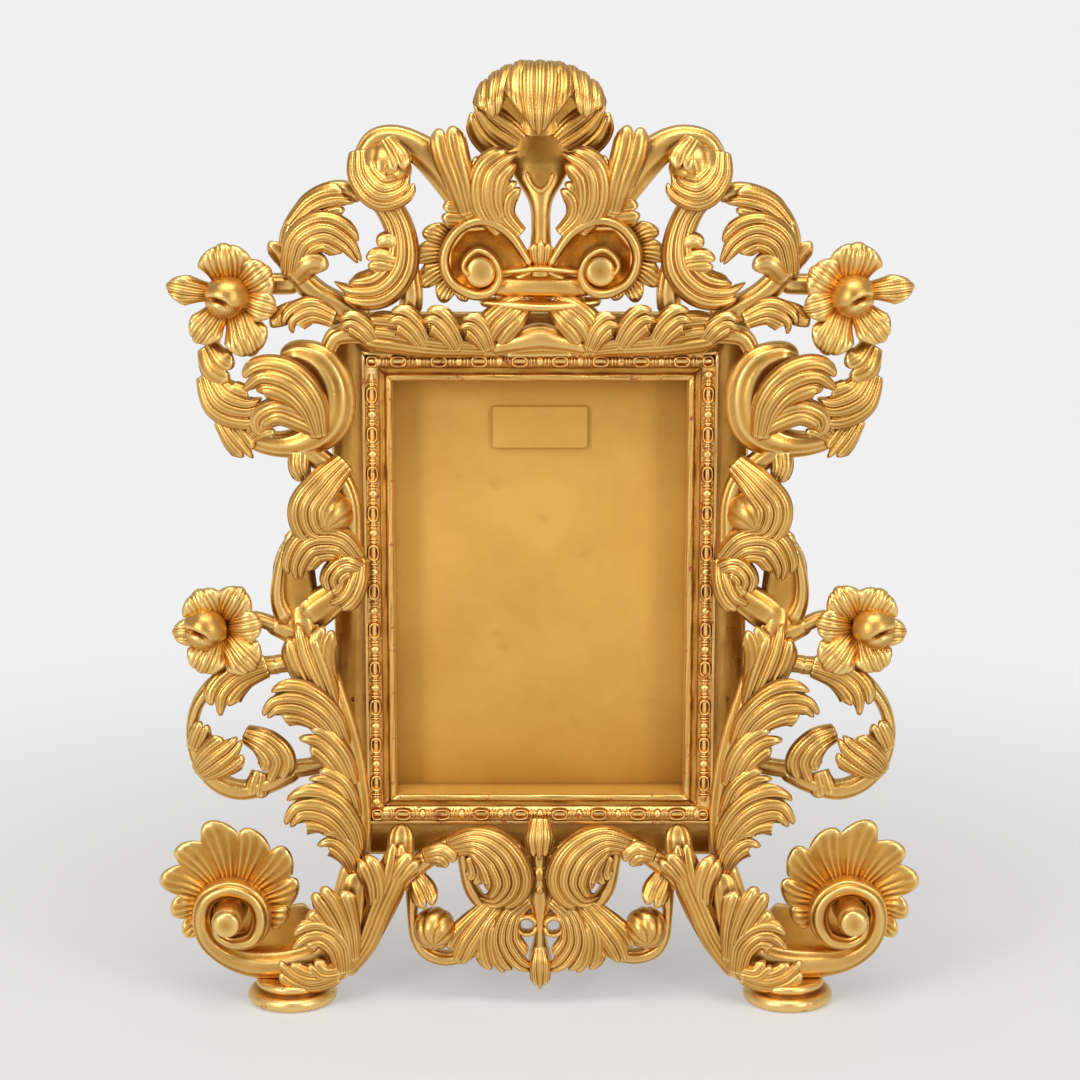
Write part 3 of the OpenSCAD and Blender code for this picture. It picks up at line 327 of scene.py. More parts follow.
def repeated(made, count, step, finish):
    """Repeats a mesh along a line with a node group and leaves it as a plain mesh."""
    tree = bpy.data.node_groups.new(made.name + " repeat", "GeometryNodeTree")
    named = {}
    for label, kind in (("Geometry", "Geometry"), ("Count", "Int"), ("Step", "Vector")):
        socket = tree.interface.new_socket(label, in_out="INPUT", socket_type="NodeSocket" + kind)
        named[label] = socket.identifier
    tree.interface.new_socket("Geometry", in_out="OUTPUT", socket_type="NodeSocketGeometry")
    source = add(tree, "NodeGroupInput").outputs
    line = add(tree, "GeometryNodeMeshLine", {"Count": source["Count"], "Offset": source["Step"]})
    copies = add(tree, "GeometryNodeInstanceOnPoints", {"Points": line, "Instance": source["Geometry"]})
    real = add(tree, "GeometryNodeRealizeInstances", {"Geometry": copies})
    painted = add(tree, "GeometryNodeSetMaterial", {"Geometry": real, "Material": finish})
    add(tree, "NodeGroupOutput", {"Geometry": painted})
    modifier = made.modifiers.new("repeat", "NODES")
    modifier.node_group = tree
    modifier[named["Count"]] = count
    modifier[named["Step"]] = tuple(float(c) for c in step)
    graph = bpy.context.evaluated_depsgraph_get()
    plain = bpy.data.meshes.new_from_object(made.evaluated_get(graph), depsgraph=graph)
    made.modifiers.clear()
    made.data = plain
    made.data.shade_smooth()


def on_seat(side, part, stretch=1.0, shift=0.0):
    """A part drawn along x, laid on the seat of one side."""
    x, y, z = part[0].T
    return on_side(side, x * stretch + shift, z + bead_u, y + seat_y), part[1]


def bead_strip(side):
    """One strip: its bar, its run of beads and, on a level strip, a square pod in each corner."""
    corners = side in ("top", "bottom")
    half = side_half(side) + (band_at if corners else lip_w)
    count = int(2 * half // bead_pitch)
    pitch = 2 * half / count
    unit = [on_seat(side, part, pitch / unit_length, -half) for part in bead_unit]
    made = shape("bead strip " + side, unit, worn_gold)
    step = on_side(side, pitch, 0.0, 0.0) - on_side(side, 0.0, 0.0, 0.0)
    repeated(made, count, step / 1000, worn_gold)
    bar_half = half + (band_w if corners else 0)
    along = np.linspace(-bar_half, bar_half, 40)[:, None]
    bar = np.array([(-1.8, 0), (-1.8, 1), (-1, 1.8), (1, 1.8), (1.8, 1), (1.8, 0)])
    out, depth = bead_u + bar[:, 0] + 0 * along, seat_y - bar[:, 1] + 0 * along
    rest = [loft(on_side(side, along + 0 * out, out, depth))]
    if corners:
        rest += [on_seat(side, pod(5.2, 5.2, 4.4, 0.95), shift=s * (half + 4.6)) for s in (-1, 1)]
    joined = shape("bead bar " + side, rest, worn_gold)
    with bpy.context.temp_override(active_object=made, selected_editable_objects=[made, joined]):
        bpy.ops.object.join()
    hollows(made, 2)
    in_place(made, "bead_strip_" + side)


for side in ("top", "bottom", "left", "right"):
    bead_strip(side)


# Box boards: four mitred boards of lime wood that give the frame its depth. A broad hollow
# cheek runs back from the moulding; gilded in front, washed with ochre at the edge and back.
# The last colour is the dirt and painted shade that gather in the hollows.
gold = gilding("gold leaf", 0.0, "#54260a")
cheek_w, cheek_bottom = 25, 34
cheek_step, cheek_back, box_back = 1, 28, 38
box_half = (sight_half + moulding_w + cheek_w) / 1000


def cheek(width):
    """A board's outline of (outwards, back) points, with a cheek of that width in front."""
    edge = moulding_w + width
    bow = [(edge - width * math.cos(a), cheek_step + (cheek_back - cheek_step) * math.sin(a))
           for a in np.linspace(0, math.pi / 2, 19)]
    corner = rounded([(edge, cheek_back + 0.8), (edge, box_back), (30 + width / 2, box_back)], 0.6)
    return [(moulding_w, box_back), (moulding_w, 14), (moulding_w, 2.2), *bow, *corner[5:10]]


for side in ("top", "bottom", "left", "right"):
    width = cheek_bottom if side == "bottom" else cheek_w
    made = shape("box " + side, [moulding(side, cheek(width))], gold)
    if side == "bottom":
        # The bottom board is wider than the others and is cut off flush with them.
        for vertex in made.data.vertices:
            vertex.co.x = min(max(vertex.co.x, -box_half), box_half)
    hollows(made)
    in_place(made, "box_" + side)


# Backboard: a flat pine board in a rebate, its face painted with dull ochre distemper.
# It is smooth from sanding, with faint brush clouds, specks of grit and a few stains.
board_lap = 21
broken_edge = 0.8


def board_part(a, b):
    """A box from corner a to corner b with its edges broken, made along z."""
    x0, y0, z0 = a
    x1, y1, z1 = b
    ring = np.array(rounded([(x0, y0), (x1, y0), (x1, y1), (x0, y1)], broken_edge))
    centre = np.array([(x0 + x1) / 2, (y0 + y1) / 2])
    reach = np.maximum(np.abs(centre - [x0, y0]), broken_edge)
    inset = (ring - centre) * (1 - broken_edge / reach) + centre
    rows = []
    for z, flat in ((z0, inset), (z0 + broken_edge, ring), (z1 - broken_edge, ring), (z1, inset)):
        rows.append(np.column_stack([flat, np.full(len(flat), z)]))
    return loft(rows)


def distemper():
    """Dull ochre glue paint with brush clouds, specks of grit and a few stains."""
    made, tree, place = material("ochre distemper")
    brush = add(tree, "ShaderNodeTexNoise", {"Vector": place, "Scale": 9, "Detail": 5, "Roughness": 0.6})
    cloud = add(tree, "ShaderNodeMapRange", {"Value": brush, 1: 0.3, 2: 0.7}, **smooth)
    paint = add(tree, "ShaderNodeMix", {0: cloud, 6: "#c99539", 7: "#d8a649"}, **colours)
    grit = add(tree, "ShaderNodeTexNoise", {"Vector": place, "Scale": 900, "Detail": 3, "Roughness": 0.7})
    specks = add(tree, "ShaderNodeMapRange", {"Value": grit, 1: 0.6, 2: 0.75, 4: 0.35}, **smooth)
    paint = add(tree, "ShaderNodeMix", {0: specks, 6: paint, 7: "#a87628"}, **colours)
    damp = add(tree, "ShaderNodeTexNoise", {"Vector": place, "Scale": 34, "Detail": 2, "Roughness": 0.4})
    stains = add(tree, "ShaderNodeMapRange", {"Value": damp, 1: 0.68, 2: 0.78, 4: 0.3}, **smooth)
    paint = add(tree, "ShaderNodeMix", {0: stains, 6: paint, 7: "#a97c33"}, **colours)
    coat = add(tree, "ShaderNodeTexNoise", {"Vector": place, "Scale": 210, "Detail": 3, "Roughness": 0.55})
    height = add(tree, "ShaderNodeMath", {0: grit, 1: coat}, operation="ADD")
    bump = add(tree, "ShaderNodeBump", {"Height": height, "Strength": 0.25, "Distance": 0.0004})
    surface = add(tree, "ShaderNodeBsdfPrincipled",
                  {"Base Color": paint, "Roughness": 0.62, "Normal": bump})
    add(tree, "ShaderNodeOutputMaterial", {"Surface": surface})
    return made


ochre = distemper()
board_x = sight_half + board_lap
made = shape("backboard", [board_part((-board_x, rail_back, sight_low - board_lap),
                                      (board_x, box_back, sight_high + board_lap))], ochre)
in_place(made, "backboard")
# The same distemper covers the inner sides of the rails, from just behind their lip.
painted_from = 8
for rail in rails:
    rail.data.materials.append(ochre)
    for polygon in rail.data.polygons:
        x, y, z = (1000 * c for c in polygon.center)
        inside = abs(x) < sight_half + 0.3 and sight_low - 0.3 < z < sight_high + 0.3
        polygon.material_index = 1 if inside and y - 1000 * face_y > painted_from else 0


# Plaque: a small raised plate of thin wood glued on the backboard and painted with it, left
# blank. Its corners are rounded and its front edge is sanded soft.
def plaque_part(half_x, half_z, centre_z, y0, y1, corner):
    """A plate that stands forward from y1 to y0, with a rounded front edge."""
    outline = np.array(rounded([(-half_x, -half_z), (half_x, -half_z), (half_x, half_z),
                                (-half_x, half_z)], corner, 6))
    rows = []
    for y, inset in ((y1, 0), (y0 + 1.0, 0), (y0 + 0.5, 0.15), (y0 + 0.15, 0.5), (y0, 1.1)):
        flat = outline * [(half_x - inset) / half_x, (half_z - inset) / half_z]
        rows.append(np.column_stack([flat[:, 0], np.full(len(flat), y), flat[:, 1] + centre_z]))
    return loft(rows)


made = shape("plaque", [plaque_part(36, 16, sight_high - 40, rail_back - 4, rail_back, 2)], ochre)
in_place(made, "plaque_plate")


# Lower leaf: the tall acanthus beside the opening. Carved from lime wood with gouges, so
# each frond is a fan of long round flutes that run off the stem and end in blunt fingers;
# its edges are undercut and it is gessoed, gilded and burnished on the high parts.
def spine(rows):
    """Even stations along rows of (x, z, y, half width, half depth), with their directions."""
    rows = np.array(rows, float)
    last = len(rows) - 1
    s = np.linspace(0, last, 40 * last + 1)
    i = np.minimum(s.astype(int), last - 1)
    f = (s - i)[:, None]
    a, b, c, d = rows[np.maximum(i - 1, 0)], rows[i], rows[i + 1], rows[np.minimum(i + 2, last)]
    bend = (2 * a - 5 * b + 4 * c - d) * f**2 + (3 * b - a - 3 * c + d) * f**3
    fine = 0.5 * (2 * b + (c - a) * f + bend)
    gone = np.linalg.norm(np.diff(fine[:, :3], axis=0), axis=1)
    arc = np.concatenate([[0], np.cumsum(gone)])
    at = np.linspace(0, arc[-1], max(10, int(arc[-1] / 1.6)) + 1)
    fine = np.stack([np.interp(at, arc, column) for column in fine.T], 1)
    place = fine[:, [0, 2, 1]]
    ahead = np.gradient(place, axis=0)
    ahead /= np.linalg.norm(ahead, axis=1, keepdims=True)
    across = np.cross(ahead, [0.0, -1.0, 0.0])
    across /= np.linalg.norm(across, axis=1, keepdims=True)
    return place, fine[:, 3], fine[:, 4], ahead, across, np.cross(across, ahead)


def stem(rows, grooves=(0.62,)):
    """A carved strap with a full round front, cut with a groove at each of these shares."""
    place, wide, deep, _, across, out = spine(rows)
    gone = np.linalg.norm(np.diff(place, axis=0), axis=1)
    gone = np.concatenate([[0], np.cumsum(gone)])
    from_end = np.clip(np.minimum(gone, gone[-1] - gone) / wide, 0, 1)
    wide = wide * np.sqrt(1 - 0.97 * (1 - from_end) ** 2)
    deep = deep * (0.5 + 0.5 * from_end)
    s = np.sin(np.linspace(-math.pi / 2, math.pi / 2, 19))
    crown = (1 - np.abs(s) ** 2.4) ** 0.6
    for groove in grooves:
        crown = crown - 0.17 * np.exp(-(((np.abs(s) - groove) / 0.09) ** 2))
    back = np.cos(np.linspace(0, math.pi, 11)[1:-1])
    side = np.concatenate([s, back])
    rise = np.concatenate([crown, -0.9 * (1 - back**4) ** 0.5])
    rings = (place[:, None] + across[:, None] * (side[:, None] * wide[:, None, None])
             + out[:, None] * (rise[:, None] * deep[:, None, None]))
    return loft(rings)


def frond(rows, fingers=3, side=None, tips=0.36, cleft=0.7):
    """A leaf that bows outwards, with long flutes along it that end in blunt fingers.

    Its outer edge ends that share (tips) before its middle. The cleft tells how much of it
    is cut between the fingers, and a side, where one is given, is what it spreads towards.
    """
    place, wide, deep, ahead, across, out = spine(rows)
    if side is not None:
        across = np.broadcast_to(np.array(side, float), across.shape)
        out = np.cross(across, ahead)
    count = len(place)
    # v runs across the leaf from -1 to 1, and q across one finger.
    v = np.linspace(-1, 1, fingers * 15 + 1)
    where = np.minimum(((v + 1) / 2 * fingers).astype(int), fingers - 1)
    middle = (2 * where + 1) / fingers - 1
    q = np.clip((v - middle) * fingers, -1, 1)
    ridge = np.clip(1 - q**2, 0, 1) ** 0.45
    # The middle fingers reach the tip; the outer ones end before it and turn outwards.
    length = np.linalg.norm(np.diff(place, axis=0), axis=1).sum()
    notch = cleft * min(0.24, 1.9 * wide.mean() / fingers / length)
    short = tips * (cleft * middle**2 + (1 - cleft) * np.abs(v) ** 2.6)
    end = 1 - short - notch * (1 - np.clip(1 - q**2, 0, 1) ** 0.6)
    u = np.linspace(0, 1, count)[:, None]
    at = u * end * (count - 1)
    i = np.minimum(at.astype(int), count - 2)
    f = (at - i)[..., None]

    def read(column):
        column = column.reshape(count, -1)
        return column[i] * (1 - f) + column[i + 1] * f

    half, rise = read(wide)[..., 0], read(deep)[..., 0]
    close = np.sqrt(np.clip(1 - np.clip((u - 0.86) / 0.14, 0, 1) ** 2, 0, 1))
    apart = 1.12 + 0.38 * np.abs(middle) * u**2
    bow = np.sqrt(1 - 0.94 * v**2)
    groove = (1 - ridge) * (0.16 + 0.5 * cleft * u**1.5)
    vein = 0.13 * np.exp(-((np.abs(q) - 0.4) / 0.13) ** 2) * np.sqrt(u) * (1 - 0.5 * u)
    height = rise * (bow * (1 - 0.12 * u) - groove - vein) * close
    curl = rise * (0.35 * np.clip((u - 0.55) / 0.45, 0, 1) ** 2)
    centre = read(place) + read(across) * (v * apart * half)[..., None] + read(out) * curl[..., None]
    top = centre + read(out) * height[..., None]
    under = centre - read(out) * (0.3 * rise * (1.05 - v**2) * close)[..., None]
    m = len(v)
    skin = np.concatenate([top.reshape(-1, 3), under.reshape(-1, 3)])
    i, j = np.meshgrid(np.arange(count - 1), np.arange(m - 1), indexing="ij")
    a = (i * m + j).ravel()
    upper = np.stack([a, a + 1, a + m + 1, a + m], -1)
    lower = upper[:, ::-1] + count * m
    edges = [np.arange(m - 1), (count - 1) * m + np.arange(m - 1)[::-1] + 1,
             np.arange(count - 1)[::-1] * m + m, np.arange(count - 1) * m + m - 1]
    steps = [1, -1, -m, m]
    rims = [np.stack([e + s, e, e + count * m, e + s + count * m], -1) for e, s in zip(edges, steps)]
    return skin, np.concatenate([upper, lower] + rims)


def hand(places, seed):
    """The slight unevenness of hand work, the same for pieces that meet."""
    x, _, z = places.T
    phase = 1.7 * seed
    shift = np.stack([
        0.5 * np.sin(z / 31 + phase) + 0.3 * np.sin(x / 13 + z / 17 + 2 * phase),
        0.4 * np.sin(x / 19 + z / 23 + phase),
        0.5 * np.sin(x / 27 + phase) + 0.3 * np.sin(x / 11 - z / 15 + phase)], -1)
    return places + shift


def carving(name, parts):
    """One carved and gilded block, in place of the solid of its name."""
    made = shape(name, parts, gold)
    hollows(made)
    in_place(made, name.replace(" ", "_"))


def pair(name, parts):
    """A block drawn on the left and its mirror on the right, each uneven in its own way."""
    for side, flip, seed in (("left", 1, 1), ("right", -1, 2)):
        carving(name + " " + side, [(hand(p, seed) * [flip, 1, 1], f) for p, f in parts])


pair("lower leaf", [
    stem([(-141, 98, 2, 9, 8), (-139, 140, 2, 10, 9), (-142, 180, 1, 10, 9), (-149, 215, 0, 11, 9),
          (-160, 250, 0, 12, 9), (-172, 280, 1, 13, 9), (-182, 314, 2, 12, 8)]),
    stem([(-168, 264, 0, 7, 7), (-186, 269, 0, 7, 8), (-206, 267, 0, 7, 8)]),
    stem([(-152, 192, 2, 7, 6), (-174, 187, 2, 7, 7), (-196, 184, 1, 7, 8)]),
    stem([(-176, 286, 2, 8, 7), (-190, 293, 2, 8, 7), (-206, 300, 3, 7, 7)]),
    frond([(-140, 104, -4, 6, 6), (-146, 122, -11, 9, 7), (-158, 133, -14, 9, 6),
           (-169, 129, -14, 7, 5)]),
    frond([(-141, 120, -5, 8, 7), (-148, 141, -12, 12, 8), (-163, 156, -16, 15, 8),
           (-182, 159, -18, 14, 7), (-192, 145, -18, 8, 5)], fingers=4),
    frond([(-143, 150, -5, 7, 6), (-150, 170, -11, 9, 7), (-163, 181, -13, 9, 6),
           (-176, 182, -13, 7, 5)]),
    frond([(-146, 176, -5, 8, 7), (-154, 197, -12, 11, 8), (-168, 212, -14, 11, 7),
           (-183, 214, -15, 8, 5)]),
    frond([(-151, 206, -5, 8, 7), (-161, 228, -13, 12, 8), (-180, 242, -17, 14, 8),
           (-199, 242, -18, 12, 6), (-208, 231, -17, 7, 5)], fingers=4),
    frond([(-158, 232, -3, 8, 8), (-168, 256, -7, 13, 9), (-177, 280, -7, 13, 9),
           (-182, 302, -4, 10, 7)]),
    frond([(-157, 240, -2, 7, 6), (-164, 262, -6, 10, 6), (-164, 284, -9, 9, 5),
           (-157, 303, -7, 7, 4)], fingers=2),
])


# Lower ring: an open scroll beside the tall leaf, pierced right through, with a fan of flutes
# turned into it. Lime wood carved with gouges, gessoed and gilded, thin and undercut at its
# edges.
pair("lower ring", [
    stem([(-192, 268, 0, 7, 8), (-222, 265, 0, 7, 9), (-244, 256, 0, 6, 9), (-260, 237, 0, 5, 9),
          (-265, 214, 0, 5, 9), (-260, 192, 0, 6, 9), (-246, 176, 0, 8, 9), (-228, 169, 0, 8, 8),
          (-206, 175, 0, 8, 8), (-184, 185, 1, 7, 8)]),
    frond([(-206, 268, -5, 8, 6), (-226, 262, -10, 11, 7), (-239, 249, -13, 11, 7),
           (-241, 232, -13, 7, 5)]),
    frond([(-259, 186, -5, 8, 6), (-248, 196, -12, 13, 8), (-235, 206, -14, 12, 7),
           (-227, 215, -12, 7, 5)], fingers=4),
    frond([(-263, 205, -4, 6, 6), (-258, 217, -9, 7, 6), (-253, 227, -8, 5, 4)], fingers=2),
    frond([(-223, 215, -4, 7, 6), (-209, 209, -10, 10, 8), (-200, 195, -10, 11, 7),
           (-206, 178, -4, 9, 7)]),
    frond([(-213, 184, -2, 7, 5), (-216, 173, -4, 8, 5), (-218, 163, -4, 7, 4)], fingers=2),
    stem([(-225, 265, 0, 7, 7), (-231, 285, 2, 7, 7)]),
])


# Lower flower: a round bud with a slit mouth in a ring of broad petals. Carved in the round
# from the same wood, gilded, with brown varnish and painted shade left between the petals.
def ball(x, z, y, radius, flutes=9, twist=1.3, deep=0.09, tilt=0.0):
    """A round boss with flutes that swirl round it."""
    up, turn = np.meshgrid(np.linspace(0.02, math.pi - 0.02, 40),
                           np.linspace(0, 2 * math.pi, 72, endpoint=False), indexing="ij")
    groove = np.abs(np.sin(flutes * turn / 2 + twist * up))
    r = radius * (1 - deep * (1 - groove) ** 2 * np.sin(up) ** 0.5)
    places = np.stack([np.sin(up) * np.cos(turn), -np.cos(up), np.sin(up) * np.sin(turn)], -1)
    c, s = math.cos(tilt), math.sin(tilt)
    return loft((r[..., None] * places) @ np.array([[1, 0, 0], [0, c, s], [0, -s, c]]) + [x, y, z])


def bud(x, z, y, radius, lean):
    """A round bud whose lids leave a slit that leans by that many degrees."""
    part = ball(0, 0, 0, radius, flutes=0, deep=0)
    side, back, up = (part[0] / radius).T
    c, s = math.cos(math.radians(lean)), math.sin(math.radians(lean))
    along, over = side * c + up * s + 0.25, up * c - side * s + 0.12
    slit = np.exp(-((over + 0.25 * along**2) / 0.13) ** 2 - (along / 0.5) ** 4) * (back < 0)
    lid = 0.05 * np.tanh(over / 0.1) * (back < 0.2)
    return part[0] * (1 - 0.42 * slit + lid)[:, None] + [x, y, z], part[1]


def flower(x, z, y, petals, bud_at=(0, 0)):
    """A bud in a ring of cupped petals, each given by its angle, reach and half width."""
    parts = []
    for angle, reach, half in petals:
        c, s = math.cos(math.radians(angle)), math.sin(math.radians(angle))
        rows = [(x + r * reach * c, z + r * reach * s, y + back, half * share, deep)
                for r, back, share, deep in
                ((0.2, 3, 0.6, 6), (0.45, -4, 0.85, 8), (0.75, -9, 1.05, 8), (1, -5, 0.8, 5))]
        parts.append(frond(rows, tips=0.4, cleft=0.15))
    return parts + [bud(x + bud_at[0], z + bud_at[1], y - 11, 16, -20)]


pair("lower flower", [
    stem([(-230, 299, 2, 8, 7), (-214, 303, 3, 6, 7), (-192, 294, 3, 6, 7)]),
    stem([(-236, 296, 2, 7, 7), (-230, 272, 1, 6, 7)]),
    *flower(-241, 299, -6, [(10, 33, 10), (60, 37, 11), (118, 34, 13), (182, 33, 8), (246, 34, 11),
                            (312, 41, 12)], bud_at=(-10, 1)),
])


# Waist scroll: a fluted ball held in a strap at the frame's waist, over a folded leaf. Carved
# lime wood; the ball is burnished and painted bright as a highlight, and its flutes are brown with dirt and
# painted shade.
pair("waist scroll", [
    stem([(-184, 438, 0, 9, 8), (-166, 427, 0, 9, 9), (-150, 414, 0, 8, 9), (-142, 395, 0, 7, 9),
          (-142, 372, 0, 8, 9), (-144, 345, 0, 9, 9), (-152, 325, 0, 12, 9), (-166, 312, 1, 14, 8),
          (-182, 299, 2, 13, 8)]),
    frond([(-158, 365, -2, 7, 6), (-178, 364, -5, 9, 6), (-193, 361, -4, 8, 4)], fingers=2),
    stem([(-190, 362, -1, 5, 7), (-196, 340, 0, 5, 8), (-197, 318, 0, 6, 8), (-190, 300, 1, 8, 8)]),
    # The folded leaf: a smooth hollow sheet under a rolled top of fingers.
    frond([(-178, 366, 2, 10, 6), (-185, 345, 4, 14, 6), (-184, 322, 4, 15, 6), (-178, 300, 3, 13, 6)],
          fingers=1, tips=0),
    frond([(-140, 352, -4, 9, 8), (-152, 364, -12, 12, 9), (-170, 364, -17, 13, 8),
           (-180, 350, -16, 10, 6), (-180, 336, -12, 5, 4)], fingers=4, tips=0.2),
    frond([(-136, 344, -5, 8, 7), (-146, 347, -12, 9, 8), (-154, 338, -13, 8, 7),
           (-150, 326, -10, 6, 5)], fingers=3),
    frond([(-137, 352, -4, 7, 6), (-140, 337, -9, 10, 8), (-146, 325, -11, 10, 8),
           (-157, 318, -8, 8, 5)]),
    frond([(-179, 432, -3, 8, 6), (-179, 420, -6, 7, 6), (-173, 410, -5, 4, 4)], fingers=2),
    ball(-159, 387, -5, 20, flutes=8, twist=1.6, deep=0.05, tilt=0.5),
    frond([(-146, 424, -5, 8, 7), (-160, 411, -17, 11, 7), (-172, 394, -22, 12, 7),
           (-169, 377, -19, 10, 6), (-157, 370, -14, 5, 4)], fingers=4, tips=0.2),
])


# Side scroll: a broad crescent with a curled leaf laid over it. Lime wood, the crescent
# left smooth and burnished, the leaf cut with a narrow gouge.
pair("side scroll", [
    stem([(-192, 502, 0, 8, 8), (-178, 504, 0, 12, 10), (-163, 497, -1, 16, 12),
          (-155, 480, -2, 18, 13), (-157, 458, -2, 18, 13), (-169, 444, -1, 15, 11),
          (-186, 438, 0, 11, 9), (-206, 440, 0, 9, 8), (-224, 449, 0, 8, 8)], grooves=(0.3, 0.72)),
    frond([(-163, 447, -11, 7, 7), (-168, 470, -19, 11, 9), (-182, 487, -23, 13, 9),
           (-203, 492, -20, 12, 8), (-218, 481, -14, 8, 5)], tips=0.24),
    frond([(-160, 449, -9, 7, 7), (-176, 460, -16, 9, 8), (-191, 466, -19, 9, 8),
           (-204, 461, -16, 8, 7), (-206, 453, -13, 6, 5), (-198, 447, -9, 4, 4)],
          fingers=2, tips=0.2),
    frond([(-176, 476, -12, 6, 6), (-184, 489, -18, 9, 6), (-186, 503, -16, 7, 4)]),
])


# Upper ring: the strap that hangs from the upper flower, with short leaves turned inward.
# Lime wood, thin and undercut, gilded.
pair("upper ring", [
    stem([(-243, 536, 0, 7, 8), (-242, 512, 0, 6, 9), (-244, 490, 0, 6, 9), (-239, 468, 0, 8, 9),
          (-228, 453, 0, 9, 8), (-208, 443, 0, 9, 8)]),
    frond([(-245, 512, -5, 8, 6), (-237, 500, -11, 12, 7), (-224, 494, -11, 9, 5)], fingers=2),
    frond([(-245, 492, -5, 9, 7), (-234, 475, -12, 14, 8), (-216, 468, -13, 12, 7),
           (-203, 473, -10, 7, 5)], fingers=4),
    frond([(-234, 458, -4, 8, 6), (-224, 443, -8, 9, 6), (-213, 429, -6, 5, 4)]),
    frond([(-214, 446, -6, 6, 6), (-204, 455, -12, 9, 7), (-193, 457, -10, 7, 4)]),
])


# Upper flower: the larger flower of each upper corner, one long petal turned down. Carved in
# the round, gilded and burnished on the bud.
pair("upper flower", [
    stem([(-228, 550, 0, 8, 8), (-208, 555, 3, 6, 7), (-190, 556, 3, 6, 7)]),
    stem([(-232, 546, 2, 7, 7), (-239, 524, 1, 6, 7)]),
    *flower(-227, 551, -7, [(34, 35, 12), (98, 39, 14), (170, 47, 8), (232, 42, 10), (292, 47, 12),
                            (344, 34, 9)], bud_at=(-3, -1)),
])


# Upper scroll: the big openwork ring with a curling leaf inside it. Carved lime wood pierced
# with a fret saw, its straps smooth and burnished.
pair("upper scroll", [
    stem([(-126, 530, 2, 10, 8), (-146, 540, 2, 10, 9), (-164, 550, 1, 10, 9), (-178, 566, 0, 9, 9),
          (-185, 588, 0, 7, 9), (-178, 608, 0, 6, 9), (-162, 622, 0, 7, 9), (-144, 627, 0, 7, 9),
          (-130, 621, 0, 6, 8)]),
    frond([(-130, 630, -2, 6, 8), (-111, 615, -4, 9, 10), (-102, 594, -6, 10, 11),
           (-104, 572, -7, 12, 12), (-118, 557, -7, 12, 11), (-138, 554, -6, 9, 8),
           (-151, 560, -4, 4, 5)], tips=0.2),
    stem([(-102, 596, 0, 6, 8), (-97, 570, 0, 8, 9), (-95, 550, 0, 9, 9), (-97, 534, 1, 9, 8)]),
    frond([(-104, 588, -8, 6, 6), (-112, 592, -12, 6, 6), (-119, 588, -10, 4, 4)], fingers=1),
    frond([(-104, 574, -9, 8, 6), (-117, 577, -13, 8, 6), (-129, 575, -11, 5, 4)], fingers=2),
    frond([(-181, 600, -4, 7, 7), (-166, 614, -8, 10, 7), (-150, 620, -9, 10, 7),
           (-135, 620, -7, 7, 5)]),
    frond([(-182, 566, -5, 8, 7), (-175, 589, -12, 11, 8), (-158, 598, -15, 12, 8),
           (-142, 590, -14, 10, 7), (-132, 574, -12, 5, 4)], fingers=4),
    frond([(-180, 564, -5, 8, 7), (-168, 575, -11, 9, 8), (-155, 572, -11, 6, 5)], fingers=1),
    frond([(-184, 572, -2, 7, 6), (-193, 582, -3, 6, 5), (-199, 589, -3, 4, 3)], fingers=1),
    frond([(-152, 533, -3, 7, 6), (-168, 539, -8, 9, 7), (-182, 532, -9, 8, 6),
           (-182, 522, -7, 5, 4)]),
    frond([(-176, 541, -4, 6, 5), (-190, 535, -7, 7, 5), (-198, 527, -6, 4, 4)], fingers=1),
    stem([(-176, 558, 1, 8, 7), (-206, 557, 3, 8, 7)]),
])


# Top leaf: a long leaf laid along the top of the box, its fingers turned up. Carved in low
# relief, gessoed and gilded.
pair("top leaf", [
    stem([(-158, 496, 4, 6, 7), (-155, 512, 4, 7, 7), (-146, 520, 4, 8, 8), (-120, 521, 4, 9, 8),
          (-90, 517, 4, 9, 8), (-60, 514, 4, 8, 7), (-28, 511, 3, 7, 7)]),
    frond([(-38, 512, 0, 8, 7), (-78, 517, -3, 11, 9), (-114, 523, -3, 12, 9),
           (-148, 526, 0, 8, 7)]),
    frond([(-84, 512, -3, 7, 6), (-92, 525, -9, 9, 7), (-103, 534, -12, 9, 6), (-112, 531, -10, 6, 4)]),
    frond([(-60, 511, -3, 7, 6), (-67, 524, -9, 9, 7), (-77, 534, -12, 9, 6), (-86, 532, -10, 6, 4)]),
    frond([(-38, 510, -3, 6, 5), (-43, 521, -8, 8, 6), (-51, 529, -10, 8, 5), (-59, 527, -8, 5, 4)]),
    frond([(-122, 516, -3, 6, 6), (-130, 526, -9, 8, 6), (-139, 531, -11, 7, 5), (-146, 526, -8, 5, 4)]),
])


# Crest arm: an arched strap that ends in a fluted ball, with an upright leaf before it. Lime
# wood, carved in the round, the strap left smooth.
pair("crest arm", [
    stem([(-131, 650, 0, 6, 8), (-121, 664, 0, 7, 9), (-104, 666, 0, 9, 9), (-86, 656, 0, 12, 9),
          (-70, 640, 0, 13, 9), (-57, 621, 0, 12, 9), (-46, 598, 0, 10, 9)]),
    frond([(-53, 611, -5, 7, 6), (-58, 634, -11, 10, 8), (-65, 656, -12, 11, 7),
           (-69, 677, -8, 9, 5)], fingers=2, tips=0.25),
    frond([(-49, 618, -5, 6, 6), (-50, 636, -9, 8, 7), (-49, 656, -8, 7, 4)], fingers=2),
    frond([(-47, 612, -2, 8, 6), (-60, 611, -4, 9, 6), (-74, 613, -3, 7, 4)], fingers=2),
    ball(-113, 644, -4, 20, flutes=8, twist=1.5, deep=0.05, tilt=0.4),
    frond([(-130, 654, -6, 8, 6), (-127, 640, -17, 11, 7), (-115, 629, -23, 12, 7),
           (-101, 632, -18, 9, 5), (-97, 641, -12, 5, 4)], fingers=4, tips=0.2),
    frond([(-112, 664, -9, 7, 5), (-104, 652, -18, 9, 6), (-101, 641, -19, 6, 4)], fingers=2),
])


